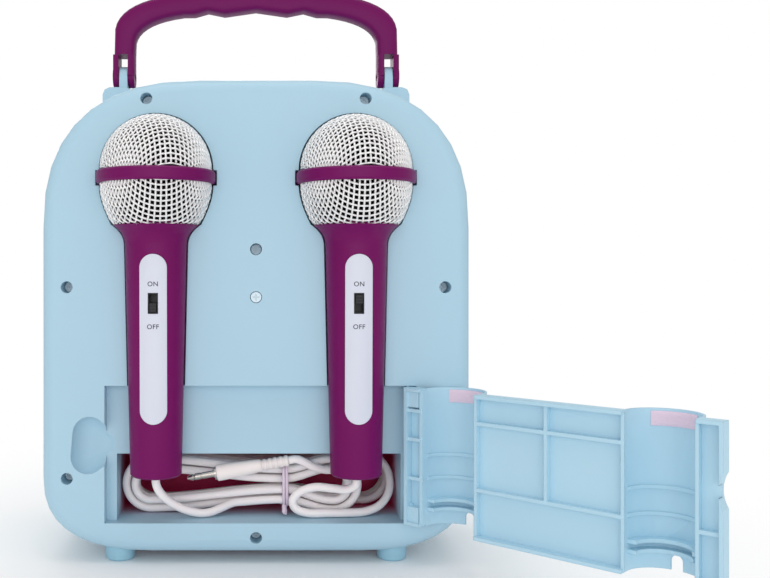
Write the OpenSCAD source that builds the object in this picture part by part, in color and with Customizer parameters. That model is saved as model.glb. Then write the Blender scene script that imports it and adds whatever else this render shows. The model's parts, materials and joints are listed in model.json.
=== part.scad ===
// Portable karaoke machine: an upright rounded case with a folding carry handle, a disc well
// and speaker in front, and two corded microphones clipped into the back above a cord pocket
// with a swinging storage door. Millimetres, +Z up, the front faces -Y, the back +Y.
// The origin lies on the ground under the middle of the case.

/* [Case] */
// Width of the case
body_w = 220; // [214:1:240]
// Depth of the case from front face to back face
body_d = 116; // [112:1:130]
// Height of the case above its feet
body_h = 243; // [240:1:260]
// Height of the rubber feet
foot_h = 5.6; // [3:0.2:10]
// Diameter of a foot
foot_dia = 16; // [10:1:24]
// Wall thickness of the mouldings
wall = 2.4; // [1.8:0.1:3]
// Radius of the rounded front and back edges
edge_r = 7; // [4:0.5:10]

/* [Microphones] */
// Distance of each microphone from the middle of the case
mic_x = 51; // [48:0.5:54]
// Height of the microphone's lower end above the ground
mic_z = 46; // [44:0.5:48]
// Radius of the wire-mesh ball
ball_r = 28.6; // [26:0.2:30]
// Radius of the handle at its lower end
grip_r = 13.1; // [12:0.1:14]
// Gap between a microphone and its cradle
cradle_gap = 0.6; // [0.4:0.1:1]
// Travel of the microphone's switch
mic_switch_travel = 4.6; // [3:0.2:5]

/* [Storage door] */
// Length of the door from hinge edge to free edge
door_len = 153; // [150:0.5:154]
// Angle at which the door stands open
door_open = 135.6; // [60:0.2:136]
// Depth of the door's rim
door_rim = 6.5; // [5:0.5:8]
// Thickness of the door's panel and ribs
door_t = 1.8; // [1.4:0.1:2.4]

/* [Cords] */
// Diameter of a microphone cord
cord_d = 4.4; // [3.6:0.1:4.4]
// Turns of the left hank on its way in, and again on its way out
left_turns = 2; // [1:1:2]
// Turns of the right hank
right_turns = 3; // [2:1:3]

/* [Handle] */
// Height of the carry handle's pivot above the top of the case
pivot_rise = 11.7; // [10.4:0.1:13]
// Distance of each pivot lug from the middle of the case
lug_x = 75; // [70:0.5:78]
// Height of the grip above its pivot
handle_rise = 48.3; // [40:0.5:60]
// Depth of the grip, front to back
grip_depth = 14; // [10:0.5:18]

/* [Disc drive] */
// Height of the disc's centre above the ground
disc_z = 165; // [162:0.5:168]
// Radius of the disc well
well_r = 62; // [61:0.5:63]
// Travel of the laser sled each way from its middle
sled_travel = 16; // [10:1:17]
// Pitch of the sled's lead screw
screw_pitch = 3; // [2:0.5:4]

/* [Speaker and controls] */
// Height of the speaker's centre above the ground
speaker_z = 52; // [50:0.5:54]
// Radius of the speaker grille
grille_r = 40; // [34:1:40]
// Diameter of a round push button
button_dia = 12; // [8:0.5:14]
// Travel of a push button
button_travel = 1.2; // [0.6:0.1:1.4]
// Diameter of a rotary knob
knob_dia = 19; // [14:0.5:22]

/* [Hidden] */

sky = [0.66, 0.80, 0.87];
plum = [0.46, 0.11, 0.37];
pale = [0.81, 0.83, 0.89];
ivory = [0.91, 0.89, 0.88];
foam = [0.91, 0.80, 0.87];
ink = [0.06, 0.06, 0.07];
steel = [0.75, 0.76, 0.78];
board = [0.10, 0.38, 0.22];

half_w = body_w / 2;
back_y = body_d / 2;
front_y = -back_y;
split_y = -12;
base_z = foot_h;
top_z = foot_h + body_h;
pivot_z = top_z + pivot_rise;

// The outline of the case: four superellipse corners, the upper pair wider than the lower
top_rx = 81;
top_rz = 76.5;
low_rx = 57;
low_rz = 38;
corner_power = 2.45;
corner_steps = 9;
function corner(cx, cz, rx, rz, from) = [for (i = [0:corner_steps])
    let (a = from + 90 * i / corner_steps, c = cos(a), s = sin(a))
    [cx + rx * sign(c) * pow(abs(c), 2 / corner_power),
     cz + rz * sign(s) * pow(abs(s), 2 / corner_power)]];
function outline(inset) = concat(
    corner(half_w - top_rx, top_z - top_rz, top_rx - inset, top_rz - inset, 0),
    corner(top_rx - half_w, top_z - top_rz, top_rx - inset, top_rz - inset, 90),
    corner(low_rx - half_w, base_z + low_rz, low_rx - inset, low_rz - inset, 180),
    corner(half_w - low_rx, base_z + low_rz, low_rx - inset, low_rz - inset, 270));

function slice(y, inset) = [for (q = outline(inset)) [q[0], y, q[1]]];

// Half of the case form, from the parting plane to a rounded edge
function half_slices(y_split, y_face, way, inset) = concat([slice(y_split, inset)],
    [for (a = [0:30:90]) slice(y_face - way * (edge_r * (1 - sin(a)) + inset),
        edge_r * (1 - cos(a)) + inset)]);
module rear_form(y_split, inset)
    skin([for (i = [4:-1:0]) half_slices(y_split, back_y, 1, inset)[i]]);
module front_form(y_split, inset) skin(half_slices(y_split, front_y, -1, inset));

module rod_y(x, z, r, y1, y2)
    translate([x, y1, z]) rotate([-90, 0, 0]) cylinder(r = r, h = y2 - y1, $fn = 48);
module rod_x(y, z, r, x1, x2)
    translate([x1, y, z]) rotate([0, 90, 0]) cylinder(r = r, h = x2 - x1, $fn = 48);
module rod_z(x, y, r, z1, z2)
    translate([x, y, z1]) cylinder(r = r, h = z2 - z1, $fn = 48);
module block(lo, hi) translate(lo) cube(hi - lo);

// Microphone profiles, radius against height above the lower end
neck_h = 116;
collar_h = 127.4;
collar_r = 22.4;
ring_h = 151.6;
ball_h = ring_h + 3.9;
waist_r = grip_r + 2.6;
ring_r = ball_r + 1.8;
ring_t = 6.6;
body_curve = [for (i = [0:6]) let (t = i / 6)
    [waist_r + (collar_r - 0.6 - waist_r) * pow(t, 2.6), neck_h + (collar_h - neck_h) * t]];
basket_curve = [for (i = [0:5]) let (t = i / 5)
    [collar_r + (ball_r - collar_r) * sin(90 * t), collar_h + (ring_h - 4 - collar_h) * t]];
ball_curve = [for (i = [0:12]) let (a = asin((ring_h - ball_h) / ball_r) +
    (90 - asin((ring_h - ball_h) / ball_r)) * i / 12)
    [ball_r * cos(a), ball_h + ball_r * sin(a)]];
handle_curve = concat([[0, 0], [grip_r - 1, 0], [grip_r, 1]], body_curve);

module body_revolve(grow)
    rotate_extrude($fn = 72) offset_free(concat(handle_curve, [[0, collar_h]]), grow);
module offset_free(points, grow) polygon([for (q = points) [q[0] == 0 ? 0 : q[0] + grow, q[1]]]);

// The space that one microphone takes in its cradle
module mic_space(grow, below) {
    rotate_extrude($fn = 72) polygon(concat(
        [[0, -below], [grip_r + grow, -below]],
        [for (q = body_curve) [q[0] + grow, q[1]]],
        [for (q = basket_curve) [q[0] + grow, q[1] + 0.2]],
        [[ball_r + grow, ring_h - 3.8], [0, ring_h - 3.8]]));
    translate([0, 0, ball_h]) sphere(r = ball_r + grow, $fn = 72);
    translate([0, 0, ring_h - ring_t / 2 - grow])
        cylinder(r = ring_r + grow, h = ring_t + 2 * grow, $fn = 72);
}
module at_mic(side) translate([side * mic_x, back_y, mic_z]) children();

// Storage recess, cord pocket and door
recess_d = door_rim + 0.3;
recess_y = back_y - recess_d;
recess_x0 = -76.5;
recess_x1 = recess_x0 + door_len + 0.8;
recess_z0 = 21.3;
recess_z1 = 91.4;
pocket_x0 = -74.8;
pocket_x1 = 71.9;
pocket_z1 = 55.6;
pocket_y = -9.4;
hinge_x = recess_x0 - 0.95;
hinge_y = back_y - 1.2;
hinge_r = 2;
pin_r = 0.8;
pin_fit = 0.06;
ear_h = 10.5;
arch_in = 15.2;
arch_out = 16.2;
door_gap = 0.4;
// Set-back of the rib and rim beside the hinge, which pass the microphone as the door swings
swing_gap = 0.7;
bevel = 1.45;

// Screw wells in the back, each with its depth
low_well_z = 13.8;
screw_wells = [[56, top_z - 10.4, 12], [-56, top_z - 10.4, 12], [96.6, 141.8, 12], [-96.6, 141.8, 12],
    [0, 161.2, 12], [0, 136.7, 2.5], [96.6, 44, 12], [-96.6, 44, 12], [0, low_well_z, 12]];
well_hole_r = 3;
boss_r = 4.6;
screw_r = 1.4;
screw_head_r = 2.7;
screw_tip_y = -19;

// Carry handle lugs
lug_t = 4.6;
lug_r = 6;
slot_w = 5.2;
leg_w = 12;
shoulder_z = top_z + 4.4;
shoulder_foot = top_z - 18.6;
shoulder_w = 17;
shoulder_off = 2.5;
handle_pin_r = 2;

module lug_and_shoulder(side) translate([side * lug_x, 0, 0]) {
    rod_x(0, pivot_z, lug_r, -lug_t / 2, lug_t / 2);
    block([-lug_t / 2, -lug_r, shoulder_foot + 6], [lug_t / 2, lug_r, pivot_z]);
    translate([side * shoulder_off, 10, 0]) rotate([90, 0, 0]) linear_extrude(20) polygon([
        [-shoulder_w / 2, shoulder_foot], [shoulder_w / 2, shoulder_foot], [shoulder_w / 2, shoulder_z - 4],
        [shoulder_w / 2 - 1.2, shoulder_z - 1.2], [shoulder_w / 2 - 4, shoulder_z],
        [-shoulder_w / 2 + 4, shoulder_z], [-shoulder_w / 2 + 1.2, shoulder_z - 1.2],
        [-shoulder_w / 2, shoulder_z - 4]]);
}

module recess_cut() {
    block([recess_x0, recess_y, recess_z0], [recess_x1, back_y + 1, recess_z1]);
    block([pocket_x0, pocket_y, recess_z0], [pocket_x1, recess_y + 1, pocket_z1]);
    for (z = [[recess_z0, recess_z0 + ear_h + 0.6], [recess_z1 - ear_h - 0.6, recess_z1]])
        block([hinge_x - hinge_r - 2.3, recess_y, z[0]], [recess_x0 + 1, back_y + 1, z[1]]);
    translate([recess_x0, back_y, 0]) rotate([0, 0, 45])
        block([-1.4, -1.4, recess_z0 + ear_h], [1.4, 1.4, recess_z1 - ear_h]);
}

// Kidney-shaped finger scoop beside the door's free edge
module finger_scoop() hull() for (q = [[78, 61], [85, 67], [86, 55]])
    translate([q[0], back_y, q[1]]) sphere(r = 8.6, $fn = 28);

module rear_shell() color(sky) difference() {
    union() {
        difference() {
            rear_form(split_y, 0);
            difference() {
                rear_form(split_y - 1, wall);
                for (q = screw_wells)
                    rod_y(q[0], q[1], boss_r, split_y - 2, back_y);
            }
        }
        intersection() {
            for (side = [-1, 1]) at_mic(side) mic_space(cradle_gap + wall, 0);
            block([-100, 10, mic_z - 6], [100, back_y - 0.5, top_z - wall]);
        }
        block([recess_x0 - 7, recess_y - wall, recess_z0 - wall],
            [recess_x1 + wall, back_y - 1, recess_z1 + wall]);
        block([pocket_x0 - wall, pocket_y - wall, recess_z0 - wall],
            [pocket_x1 + wall, recess_y, pocket_z1 + wall]);
        block([recess_x1, back_y - 12.5, 43], [96, back_y - 1, 79]);
        for (side = [-1, 1]) lug_and_shoulder(side);
    }
    for (side = [-1, 1]) at_mic(side) mic_space(cradle_gap, 2);
    recess_cut();
    finger_scoop();
    for (q = screw_wells) {
        rod_y(q[0], q[1], well_hole_r, back_y - q[2], back_y + 1);
        rod_y(q[0], q[1], screw_r + 0.2, split_y - 3, back_y - q[2] + 1);
    }
    for (z = [recess_z0 - 3.4, recess_z1 - 0.5])
        rod_z(hinge_x, hinge_y, pin_r + pin_fit, z, z + 3.9);
    for (side = [-1, 1])
        rod_x(0, pivot_z, handle_pin_r + pin_fit, side * lug_x - leg_w, side * lug_x + leg_w);
}

module front_shell() color(sky) difference() {
    union() {
        difference() {
            front_form(split_y - 0.2, 0);
            front_form(split_y + 1, wall);
        }
        for (q = screw_wells) if (q[0] != 0 || q[1] < 100)
            rod_y(q[0], q[1], boss_r, front_y + wall - 1, split_y - 0.2);
        difference() {
            rod_y(0, disc_z, well_r + 5, front_y + wall - 1, front_y + wall + 5);
            rod_y(0, disc_z, well_r + 4.3, front_y - 1, front_y + 20);
        }
        rod_x(lid_hinge_y, lid_hinge_z, knuckle_r, 3.6 - lid_ear_x, lid_ear_x - 3.6);
    }
    for (q = screw_wells)
        rod_y(q[0], q[1], screw_r + 0.02, screw_tip_y - 4, split_y + 2);
    rod_y(0, disc_z, lid_r + 0.4, front_y - 1, front_y + wall + 1);
    rod_y(0, speaker_z, grille_r - 5, front_y - 1, front_y + 20);
    rod_y(0, speaker_z, grille_r + 0.2, front_y - 1, front_y + grille_t);
    for (x = [-1, 1] * lid_ear_x)
        block([x - 3.3, front_y - 1, lid_hinge_z - 3.4], [x + 3.3, front_y + 7, lid_hinge_z + 6]);
    rod_x(lid_hinge_y, lid_hinge_z, lid_pin_r + 0.02, -20, 20);
    for (z = button_z) rod_y(button_x, z, button_dia / 2 + 0.25, front_y - 1, front_y + 8);
    for (z = knob_z) rod_y(-button_x, z, pot_neck_r + 0.1, front_y - 1, front_y + 8);
    block([-button_x - 13, front_y - 1, display_z - 7], [-button_x + 13, front_y + 8, display_z + 7]);
    block([button_x - 2.6, front_y - 1, power_z - 5.4], [button_x + 2.6, front_y + 8, power_z + 5.4]);
    for (q = socket_z) rod_x(socket_y, q, socket_neck_r + 0.1, half_w - 6, half_w + 1);
}

module feet() color([0.62, 0.77, 0.84]) for (x = [-1, 1] * 71, y = [-1, 1] * (back_y - 13))
    translate([x, y, 0]) rotate_extrude($fn = 48) polygon([[0, 0], [foot_dia / 2 - 1.4, 0],
        [foot_dia / 2 - 0.6, 0.8], [foot_dia / 2, foot_h + 2.6], [0, foot_h + 2.6]]);

module case_screws() color(steel) for (q = screw_wells) {
    long = q[0] != 0 || q[1] < 100;
    rod_y(q[0], q[1], screw_r, long ? screw_tip_y : split_y + 4, back_y - q[2] + 0.5);
    difference() {
        rod_y(q[0], q[1], screw_head_r, back_y - q[2] + 0.3, back_y - q[2] + 2.1);
        for (a = [0, 90]) translate([q[0], back_y - q[2] + 2.1, q[1]]) rotate([0, a, 0])
            cube([3.2, 1.6, 0.7], center = true);
    }
}

// The handle follows one arch; each section is a rounded rectangle between the inner and
// the outer line, and the grip has four finger dents on its inner side
arch_steps = 28;
grip_top = pivot_z + handle_rise;
out_x = lug_x + 5.4;
in_x = lug_x - 6.4;
function arch_outer(t) = let (a = 180 * t, c = cos(a), s = sin(a))
    [out_x * sign(c) * pow(abs(c), 0.62), grip_top - 26 + 26 * pow(s, 0.8)];
function dent(x) = abs(x) < 36 ? 1.3 * cos(360 * x / 17) : 0;
function arch_inner(t) = let (a = 180 * t, c = cos(a), s = sin(a))
    [in_x * sign(c) * pow(abs(c), 0.62), grip_top - 32 + 20 * pow(s, 0.8) + dent(in_x * c)];
function leg_section(side, z, w, d) = [[side * (lug_x + 5.4), z], [side * (lug_x - 6.4), z]];
function section_ring(a, b, depth) = let (n = 16, m = (a + b) / 2, h = norm(a - b) / 2, u = (a - b) / norm(a - b))
    [for (k = [0:n - 1]) let (g = 360 * k / n, c = cos(g), s = sin(g),
        p = h * sign(c) * pow(abs(c), 0.55), q = depth / 2 * sign(s) * pow(abs(s), 0.55))
        [m[0] + u[0] * p, q, m[1] + u[1] * p]];
leg_z0 = pivot_z - lug_r;
leg_z1 = grip_top - 30;
arch_lines = concat(
    [for (z = [pivot_z, leg_z1 - 6]) leg_section(1, z, 0, 0)],
    [for (i = [1:arch_steps - 1]) [arch_outer(i / arch_steps), arch_inner(i / arch_steps)]],
    [for (z = [leg_z1 - 6, pivot_z]) leg_section(-1, z, 0, 0)]);

// A closed skin over rings that turn counter-clockwise about the way they follow each other
module skin(rings) {
    n = len(rings[0]);
    m = len(rings);
    polyhedron(points = [for (r = rings) each r],
        faces = concat(
            [[for (k = [0:n - 1]) k]],
            [for (i = [0:m - 2], k = [0:n - 1]) let (a = i * n + k, b = i * n + (k + 1) % n)
                each [[b, a, b + n], [b + n, a, a + n]]],
            [[for (k = [0:n - 1]) m * n - 1 - k]]), convexity = 8);
}

module handle() color(plum) difference() {
    union() {
        skin([for (q = arch_lines) section_ring(q[0], q[1], grip_depth)]);
        for (side = [-1, 1]) {
            rod_x(0, pivot_z, lug_r, side * lug_x - leg_w / 2, side * lug_x + leg_w / 2);
            block([side * lug_x - leg_w / 2 + 0.2, -lug_r + 0.1, pivot_z],
                [side * lug_x + leg_w / 2 - 0.2, lug_r - 0.1, pivot_z + 12]);
        }
    }
    for (side = [-1, 1]) {
        block([side * lug_x - slot_w / 2, -20, leg_z0 - 5], [side * lug_x + slot_w / 2, 20, pivot_z + 12]);
        rod_x(0, pivot_z, handle_pin_r + pin_fit, side * lug_x - leg_w, side * lug_x + leg_w);
    }
}

module handle_pins() color(steel) for (side = [-1, 1])
    rod_x(0, pivot_z, handle_pin_r, side * lug_x - leg_w / 2 + 0.3, side * lug_x + leg_w / 2 - 0.3);

// The storage door is drawn shut, then swung open about its hinge
module door_place()
    translate([hinge_x, hinge_y, 0]) rotate([0, 0, door_open]) translate([-hinge_x, -hinge_y, 0])
        children();
door_x0 = recess_x0 + door_gap;
door_x1 = door_x0 + door_len;
door_z0 = recess_z0 + door_gap;
door_z1 = recess_z1 - door_gap;
door_in_y = back_y - door_rim;
door_mid_x = (door_x0 + door_x1) / 2;
low_rib_z = 45.4;
high_rib_z = 77.2;
lips = [[57, grip_r + 1.2], [low_rib_z, grip_r + 1.4], [34.4, grip_r - 1.6], [30, grip_r - 1.6]];
scoop_z0 = 50;
scoop_z1 = 76;
module arch_rod(r, z0, z1) for (side = [-1, 1]) translate([side * mic_x, back_y, 0]) rotate([0, 0, -90])
    rod_z(0, 0, r, z0, z1);
module rib(x0, x1, z0, z1, depth) block([x0, back_y - door_t - depth, z0], [x1, back_y - 0.6, z1]);

module storage_door() color(sky) door_place() difference() {
    union() {
        difference() {
            block([door_x0, door_in_y, door_z0], [door_x1, back_y, door_z1]);
            block([door_x0 + door_t, door_in_y - 1, door_z0 + door_t],
                [door_x1 - door_t, back_y - door_t, door_z1 - door_t]);
            for (z = [door_z0, door_z1], side = [-1, 1])
                block([side * mic_x - arch_in - (side < 0 ? swing_gap : 0), door_in_y - 1, z - 3],
                    [side * mic_x + arch_in, back_y, z + 3]);
            translate([door_x0, back_y, 0]) rotate([0, 0, 45])
                block([-4, -bevel, door_z0 - 1], [4, 4, door_z1 + 1]);
        }
        intersection() {
            arch_rod(arch_out, door_z0, door_z1);
            block([door_x0, back_y - 0.8, door_z0], [door_x1, back_y + 30, door_z1]);
        }
        rib(door_mid_x - door_t / 2, door_mid_x + door_t / 2, low_rib_z, door_z1 - 1, 3);
        for (side = [-1, 1], w = [-1, 1])
            let (x = side * mic_x + w * arch_in - (side + w < -1 ? swing_gap : 0))
                rib(x - door_t / 2, x + door_t / 2, door_z0 + 1, door_z1 - 1, 3);
        rib(door_x0 + 1, door_x1 - 1, low_rib_z - door_t / 2, low_rib_z + door_t / 2, 3);
        rib(arch_in - mic_x, mic_x - arch_in, high_rib_z - door_t / 2, high_rib_z + door_t / 2, 3);
        for (z = [65.2, 79.7])
            rib(door_x0 + 1, -mic_x - arch_in - swing_gap, z - door_t / 2, z + door_t / 2, 3.6);
        for (q = lips) intersection() {
            difference() {
                arch_rod(arch_out - 0.4, q[0] - door_t / 2, q[0] + door_t / 2);
                arch_rod(q[1], q[0] - 3, q[0] + 3);
            }
            block([door_x0, back_y - 1, q[0] - 3], [door_x1, back_y + 30, q[0] + 3]);
        }
        for (z = [[door_z0, door_z0 + ear_h], [door_z1 - ear_h, door_z1]]) {
            rod_z(hinge_x, hinge_y, hinge_r, z[0], z[1]);
            block([hinge_x, hinge_y - hinge_r + 0.2, z[0]], [door_x0 + 3, hinge_y + 1.1, z[1]]);
            rib(door_x0 + 1, door_x0 + 8, z[0] + 1, z[1] - 1, 3.6);
        }
        rod_z(hinge_x, hinge_y, pin_r, door_z0 - 3, door_z0 + 1);
        rod_z(hinge_x, hinge_y, pin_r, door_z1 - 1, door_z1 + 3);
    }
    difference() {
        arch_rod(arch_in, door_z0 - 1, door_z1 + 1);
        for (q = lips) difference() {
            arch_rod(arch_in + 1, q[0] - door_t / 2, q[0] + door_t / 2);
            arch_rod(q[1], q[0] - 3, q[0] + 3);
            block([-100, 0, q[0] - 3], [100, back_y + 0.3, q[0] + 3]);
        }
    }
    for (side = [-1, 1]) hull() for (z = [-10, 4])
        translate([side * mic_x, back_y + 22, door_z0 + z]) rotate([90, 0, 0])
            cylinder(d = cord_d + 0.6, h = 40, $fn = 24);
    translate([door_x1 + 12.6, back_y + 20, (scoop_z0 + scoop_z1) / 2]) rotate([90, 0, 0])
        scale([1, 1, 1]) cylinder(r = 14.6, h = 40, $fn = 64);
}

pad_w = 19.6;
pad_h = 6.4;
module door_pads() color(foam) door_place() for (side = [-1, 1]) intersection() {
    translate([side * mic_x, back_y, door_z1 - 1.2 - pad_h]) difference() {
        cylinder(r = arch_in - 0.05, h = pad_h, $fn = 64);
        translate([0, 0, -1]) cylinder(r = grip_r + 1.3, h = pad_h + 2, $fn = 64);
    }
    block([side * mic_x - pad_w / 2, back_y, 60], [side * mic_x + pad_w / 2, back_y + 30, 100]);
}

// Speaker: a drilled grille in front, then surround, cone, frame and magnet
grille_t = 1.8;
grille_holes = [for (ring = [0:5], i = [0:max(1, ring * 6) - 1])
    let (a = 360 * i / max(1, ring * 6), r = ring * 6) [r * cos(a), r * sin(a)]];
speaker_y = front_y + wall + 0.4;
module at_speaker(y) translate([0, y, speaker_z]) rotate([-90, 0, 0]) children();

module speaker_grille() color(pale) at_speaker(front_y) {
    linear_extrude(grille_t - 0.1) difference() {
        circle(r = grille_r, $fn = 96);
        for (q = grille_holes) translate(q) circle(r = 1.9, $fn = 24);
    }
}
module speaker_frame() color(ink) difference() {
    at_speaker(speaker_y) rotate_extrude($fn = 72) polygon([
        [31, 0], [grille_r - 3.4, 0], [grille_r - 3.4, 2.4], [33.5, 2.4], [20, 20], [20, 22.4],
        [6.4, 22.4], [6.4, 20], [18, 20], [31, 4]]);
    rod_y(0, low_well_z, boss_r + 0.3, front_y, split_y);
}
module speaker_magnet() color(steel) at_speaker(speaker_y + 22.5) rotate_extrude($fn = 64) polygon([
    [6.6, 0], [19, 0], [20, 1], [20, 13], [19, 14], [0, 14], [0, 0.5], [4.7, 0.5], [4.7, 10], [6.6, 10]]);
module speaker_surround() color(ink) at_speaker(speaker_y) rotate_extrude($fn = 64) polygon([
    [30.9, 0.1], [30.9, 3.4], [28.4, 4.4], [25.6, 4], [25.6, 3.2], [28.2, 1.2]]);
module speaker_cone() color([0.3, 0.3, 0.32]) at_speaker(speaker_y) rotate_extrude($fn = 64) polygon([
    [0, 7.4], [6, 9], [9, 12.4], [25.4, 3.3], [25.4, 4.1], [9.4, 14], [6, 14], [6, 24], [5.2, 24],
    [5.2, 11], [0, 9.4]]);

// Disc well, lid and drive
lid_r = well_r + 1.6;
lid_t = 2.2;
lid_hinge_y = front_y - 0.2;
lid_hinge_z = disc_z - lid_r - 3.2;
lid_ear_x = 12;
lid_pin_r = 1;
knuckle_r = 2.5;
floor_y = front_y + 13;
slot_x0 = 16;
slot_x1 = 60;
module at_disc(y) translate([0, y, disc_z]) rotate([-90, 0, 0]) children();

module disc_tray() color(pale) difference() {
    at_disc(front_y + wall + 0.2) rotate_extrude($fn = 96) polygon([
        [18, 10.6], [well_r, 10.6], [well_r, 0], [well_r + 4, 0], [well_r + 4, 1.8],
        [well_r + 1.8, 1.8], [well_r + 1.8, 12.4], [18, 12.4]]);
    block([slot_x0, floor_y - 3, disc_z - 9], [slot_x1, floor_y + 3, disc_z + 9]);
}
module disc_lid() color(sky) difference() {
    union() {
        at_disc(front_y) rotate_extrude($fn = 96) polygon([
            [0, -1.2], [30, -0.9], [lid_r - 8, 0.1], [lid_r - 0.8, 0.3], [lid_r, 1.2],
            [lid_r, lid_t], [0, lid_t]]);
        for (x = [-1, 1] * lid_ear_x) {
            rod_x(lid_hinge_y, lid_hinge_z, knuckle_r, x - 2.8, x + 2.8);
            block([x - 2.8, lid_hinge_y - 0.9, lid_hinge_z], [x + 2.8, front_y + lid_t - 0.2, disc_z - lid_r + 4]);
        }
    }
    at_disc(front_y - 4) cylinder(r = 32, h = 10, $fn = 96);
    rod_x(lid_hinge_y, lid_hinge_z, lid_pin_r + pin_fit, -30, 30);
}
module lid_window() color([0.7, 0.8, 0.9, 0.5]) at_disc(front_y - 0.8)
    cylinder(r = 31.9, h = 2.4, $fn = 96);
module lid_pin() color(steel) rod_x(lid_hinge_y, lid_hinge_z, lid_pin_r, -15, 15);
module turntable() color(ink) at_disc(0) translate([0, 0, floor_y - 4.4]) rotate_extrude($fn = 64)
    polygon([[0, -2.6], [5.6, -2.6], [7.3, 0], [7.3, 1.4], [14, 1.4], [14, 3.4], [3.2, 3.4],
        [3.2, 11.4], [0, 11.4]]);
base_y = floor_y + 5.2;
module spindle_motor() color(steel) at_disc(base_y + 2.1) difference() {
    union() {
        cylinder(r = 12, h = 9, $fn = 64);
        translate([0, 0, -3.6]) cylinder(r = 4.4, h = 4, $fn = 48);
    }
    translate([0, 0, -4]) cylinder(r = 3.24, h = 6, $fn = 48);
}
module drive_base() color(ink) difference() {
    union() {
        block([-34, base_y, disc_z - 28], [78, base_y + 2, disc_z + 28]);
        for (z = [-1, 1] * rod_z_off, x = [slot_x0 - 1, slot_x1 + 3])
            block([x - 2, base_y + 1.9, disc_z + z - 3], [x + 2, rod_y0 + 3, disc_z + z + 3]);
        for (x = [-1, 1] * 30, z = [-1, 1] * 24)
            rod_y(x, disc_z + z, 3, front_y + wall + 12.7, base_y + 1);
    }
    rod_y(0, disc_z, 4.8, base_y - 1, base_y + 3);
    block([slot_x0 + 2, base_y - 1, disc_z - 13], [slot_x1, base_y + 3, disc_z + 13]);
    for (z = [-1, 1] * rod_z_off)
        rod_x(rod_y0, disc_z + z, rod_r + 0.02, slot_x0 - 4, slot_x1 + 6);
}
rod_z_off = 19;
rod_r = 1.5;
rod_y0 = base_y + 7;
sled_x = (slot_x0 + slot_x1) / 2 + 1;
module sled_rods() color(steel) for (z = [-1, 1] * rod_z_off)
    rod_x(rod_y0, disc_z + z, rod_r, slot_x0 - 2.8, slot_x1 + 4.8);
module laser_sled() color([0.2, 0.2, 0.22]) difference() {
    union() {
        block([sled_x - 5, rod_y0 - 3, disc_z - rod_z_off - 3], [sled_x + 5, rod_y0 + 3, disc_z + rod_z_off + 3]);
        block([sled_x - 4.6, base_y - 3, disc_z - 8], [sled_x + 4.6, rod_y0, disc_z + 8]);
        rod_y(sled_x, disc_z, 3.4, base_y - 4.6, base_y);
        block([sled_x - 3, rod_y0 + 2.9, disc_z - 12], [sled_x + 3, rod_y0 + 8, disc_z - 8.4]);
    }
    for (z = [-1, 1] * rod_z_off)
        rod_x(rod_y0, disc_z + z, rod_r + 0.05, sled_x - 9, sled_x + 9);
}
screw_y = rod_y0 + 6.2;
screw_z = disc_z - 6.4;
module lead_screw() color(steel) rod_x(screw_y, screw_z, 1.6, slot_x0 - 1.6, slot_x1 + 3.4);
module sled_motor() color(steel) difference() {
    union() {
        rod_x(screw_y, screw_z, 5.6, slot_x1 + 1.6, slot_x1 + 14);
        block([slot_x1 + 6, base_y + 2, screw_z - 4], [slot_x1 + 12, screw_y, screw_z + 4]);
        block([slot_x0 - 3, base_y + 2, screw_z - 3], [slot_x0 - 0.6, screw_y + 2.6, screw_z + 3]);
    }
    rod_x(screw_y, screw_z, 1.65, slot_x0 - 2, slot_x1 + 3.6);
}

// Boards and controls
board_t = 1.6;
main_board_y = screw_y + 2.6;
module main_board() color(board) {
    block([-70, main_board_y, 104], [16, main_board_y + board_t, 222]);
    for (q = [[-50, 190, 14], [-30, 160, 10], [-54, 130, 12], [0, 125, 8]])
        block([q[0] - q[2] / 2, main_board_y + board_t - 0.1, q[1] - q[2] / 2],
            [q[0] + q[2] / 2, main_board_y + board_t + 1.6, q[1] + q[2] / 2]);
    for (q = [[-20, 205], [-60, 160], [0, 200]])
        rod_y(q[0], q[1], 4, main_board_y + board_t - 0.1, main_board_y + board_t + 9);
}
button_x = 78;
button_z = [76, 60, 44, 28];
knob_z = [58, 32];
display_z = 88;
power_z = 96;
control_y = front_y + 14;
module control_board() color(board) {
    block([button_x - 12, control_y, 20], [button_x + 12, control_y + board_t, 104]);
    for (z = button_z) {
        block([button_x - 3, control_y - 3.5, z - 3], [button_x + 3, control_y + 0.1, z + 3]);
        rod_y(button_x, z, 1.75, control_y - 4.3, control_y - 3.4);
    }
}
module push_button(z) color(plum) {
    rod_y(button_x, z, button_dia / 2, front_y - 1.6, front_y + 4);
    rod_y(button_x, z, button_dia / 2 + 1.4, front_y + wall + 0.3, front_y + wall + 1.5);
    rod_y(button_x, z, 1.6, front_y + 3.9, control_y - 4.3 - button_travel - 0.3);
}
module play_button() push_button(button_z[0]);
module stop_button() push_button(button_z[1]);
module back_button() push_button(button_z[2]);
module next_button() push_button(button_z[3]);

pot_neck_r = 3.6;
shaft_r = 3;
module potentiometers() color(steel) for (z = knob_z) difference() {
    union() {
        rod_y(-button_x, z, 8, front_y + wall + 0.3, front_y + wall + 8);
        rod_y(-button_x, z, pot_neck_r, front_y + 0.2, front_y + wall + 1);
    }
    rod_y(-button_x, z, shaft_r + 0.05, front_y - 1, front_y + wall + 5);
}
module knob(z) color(plum) union() {
    translate([-button_x, front_y - 0.6, z]) rotate([90, 0, 0]) rotate_extrude($fn = 72) polygon([
        [0, 0], [knob_dia / 2, 0], [knob_dia / 2 - 0.6, 5], [knob_dia / 2 - 1.8, 6.2], [0, 6.2]]);
    rod_y(-button_x, z, shaft_r, front_y - 1, front_y + wall + 4.4);
    block([-button_x - 0.8, front_y - 7.4, z + 2], [-button_x + 0.8, front_y - 6, z + knob_dia / 2 - 1]);
}
module volume_knob() knob(knob_z[0]);
module echo_knob() knob(knob_z[1]);

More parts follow.
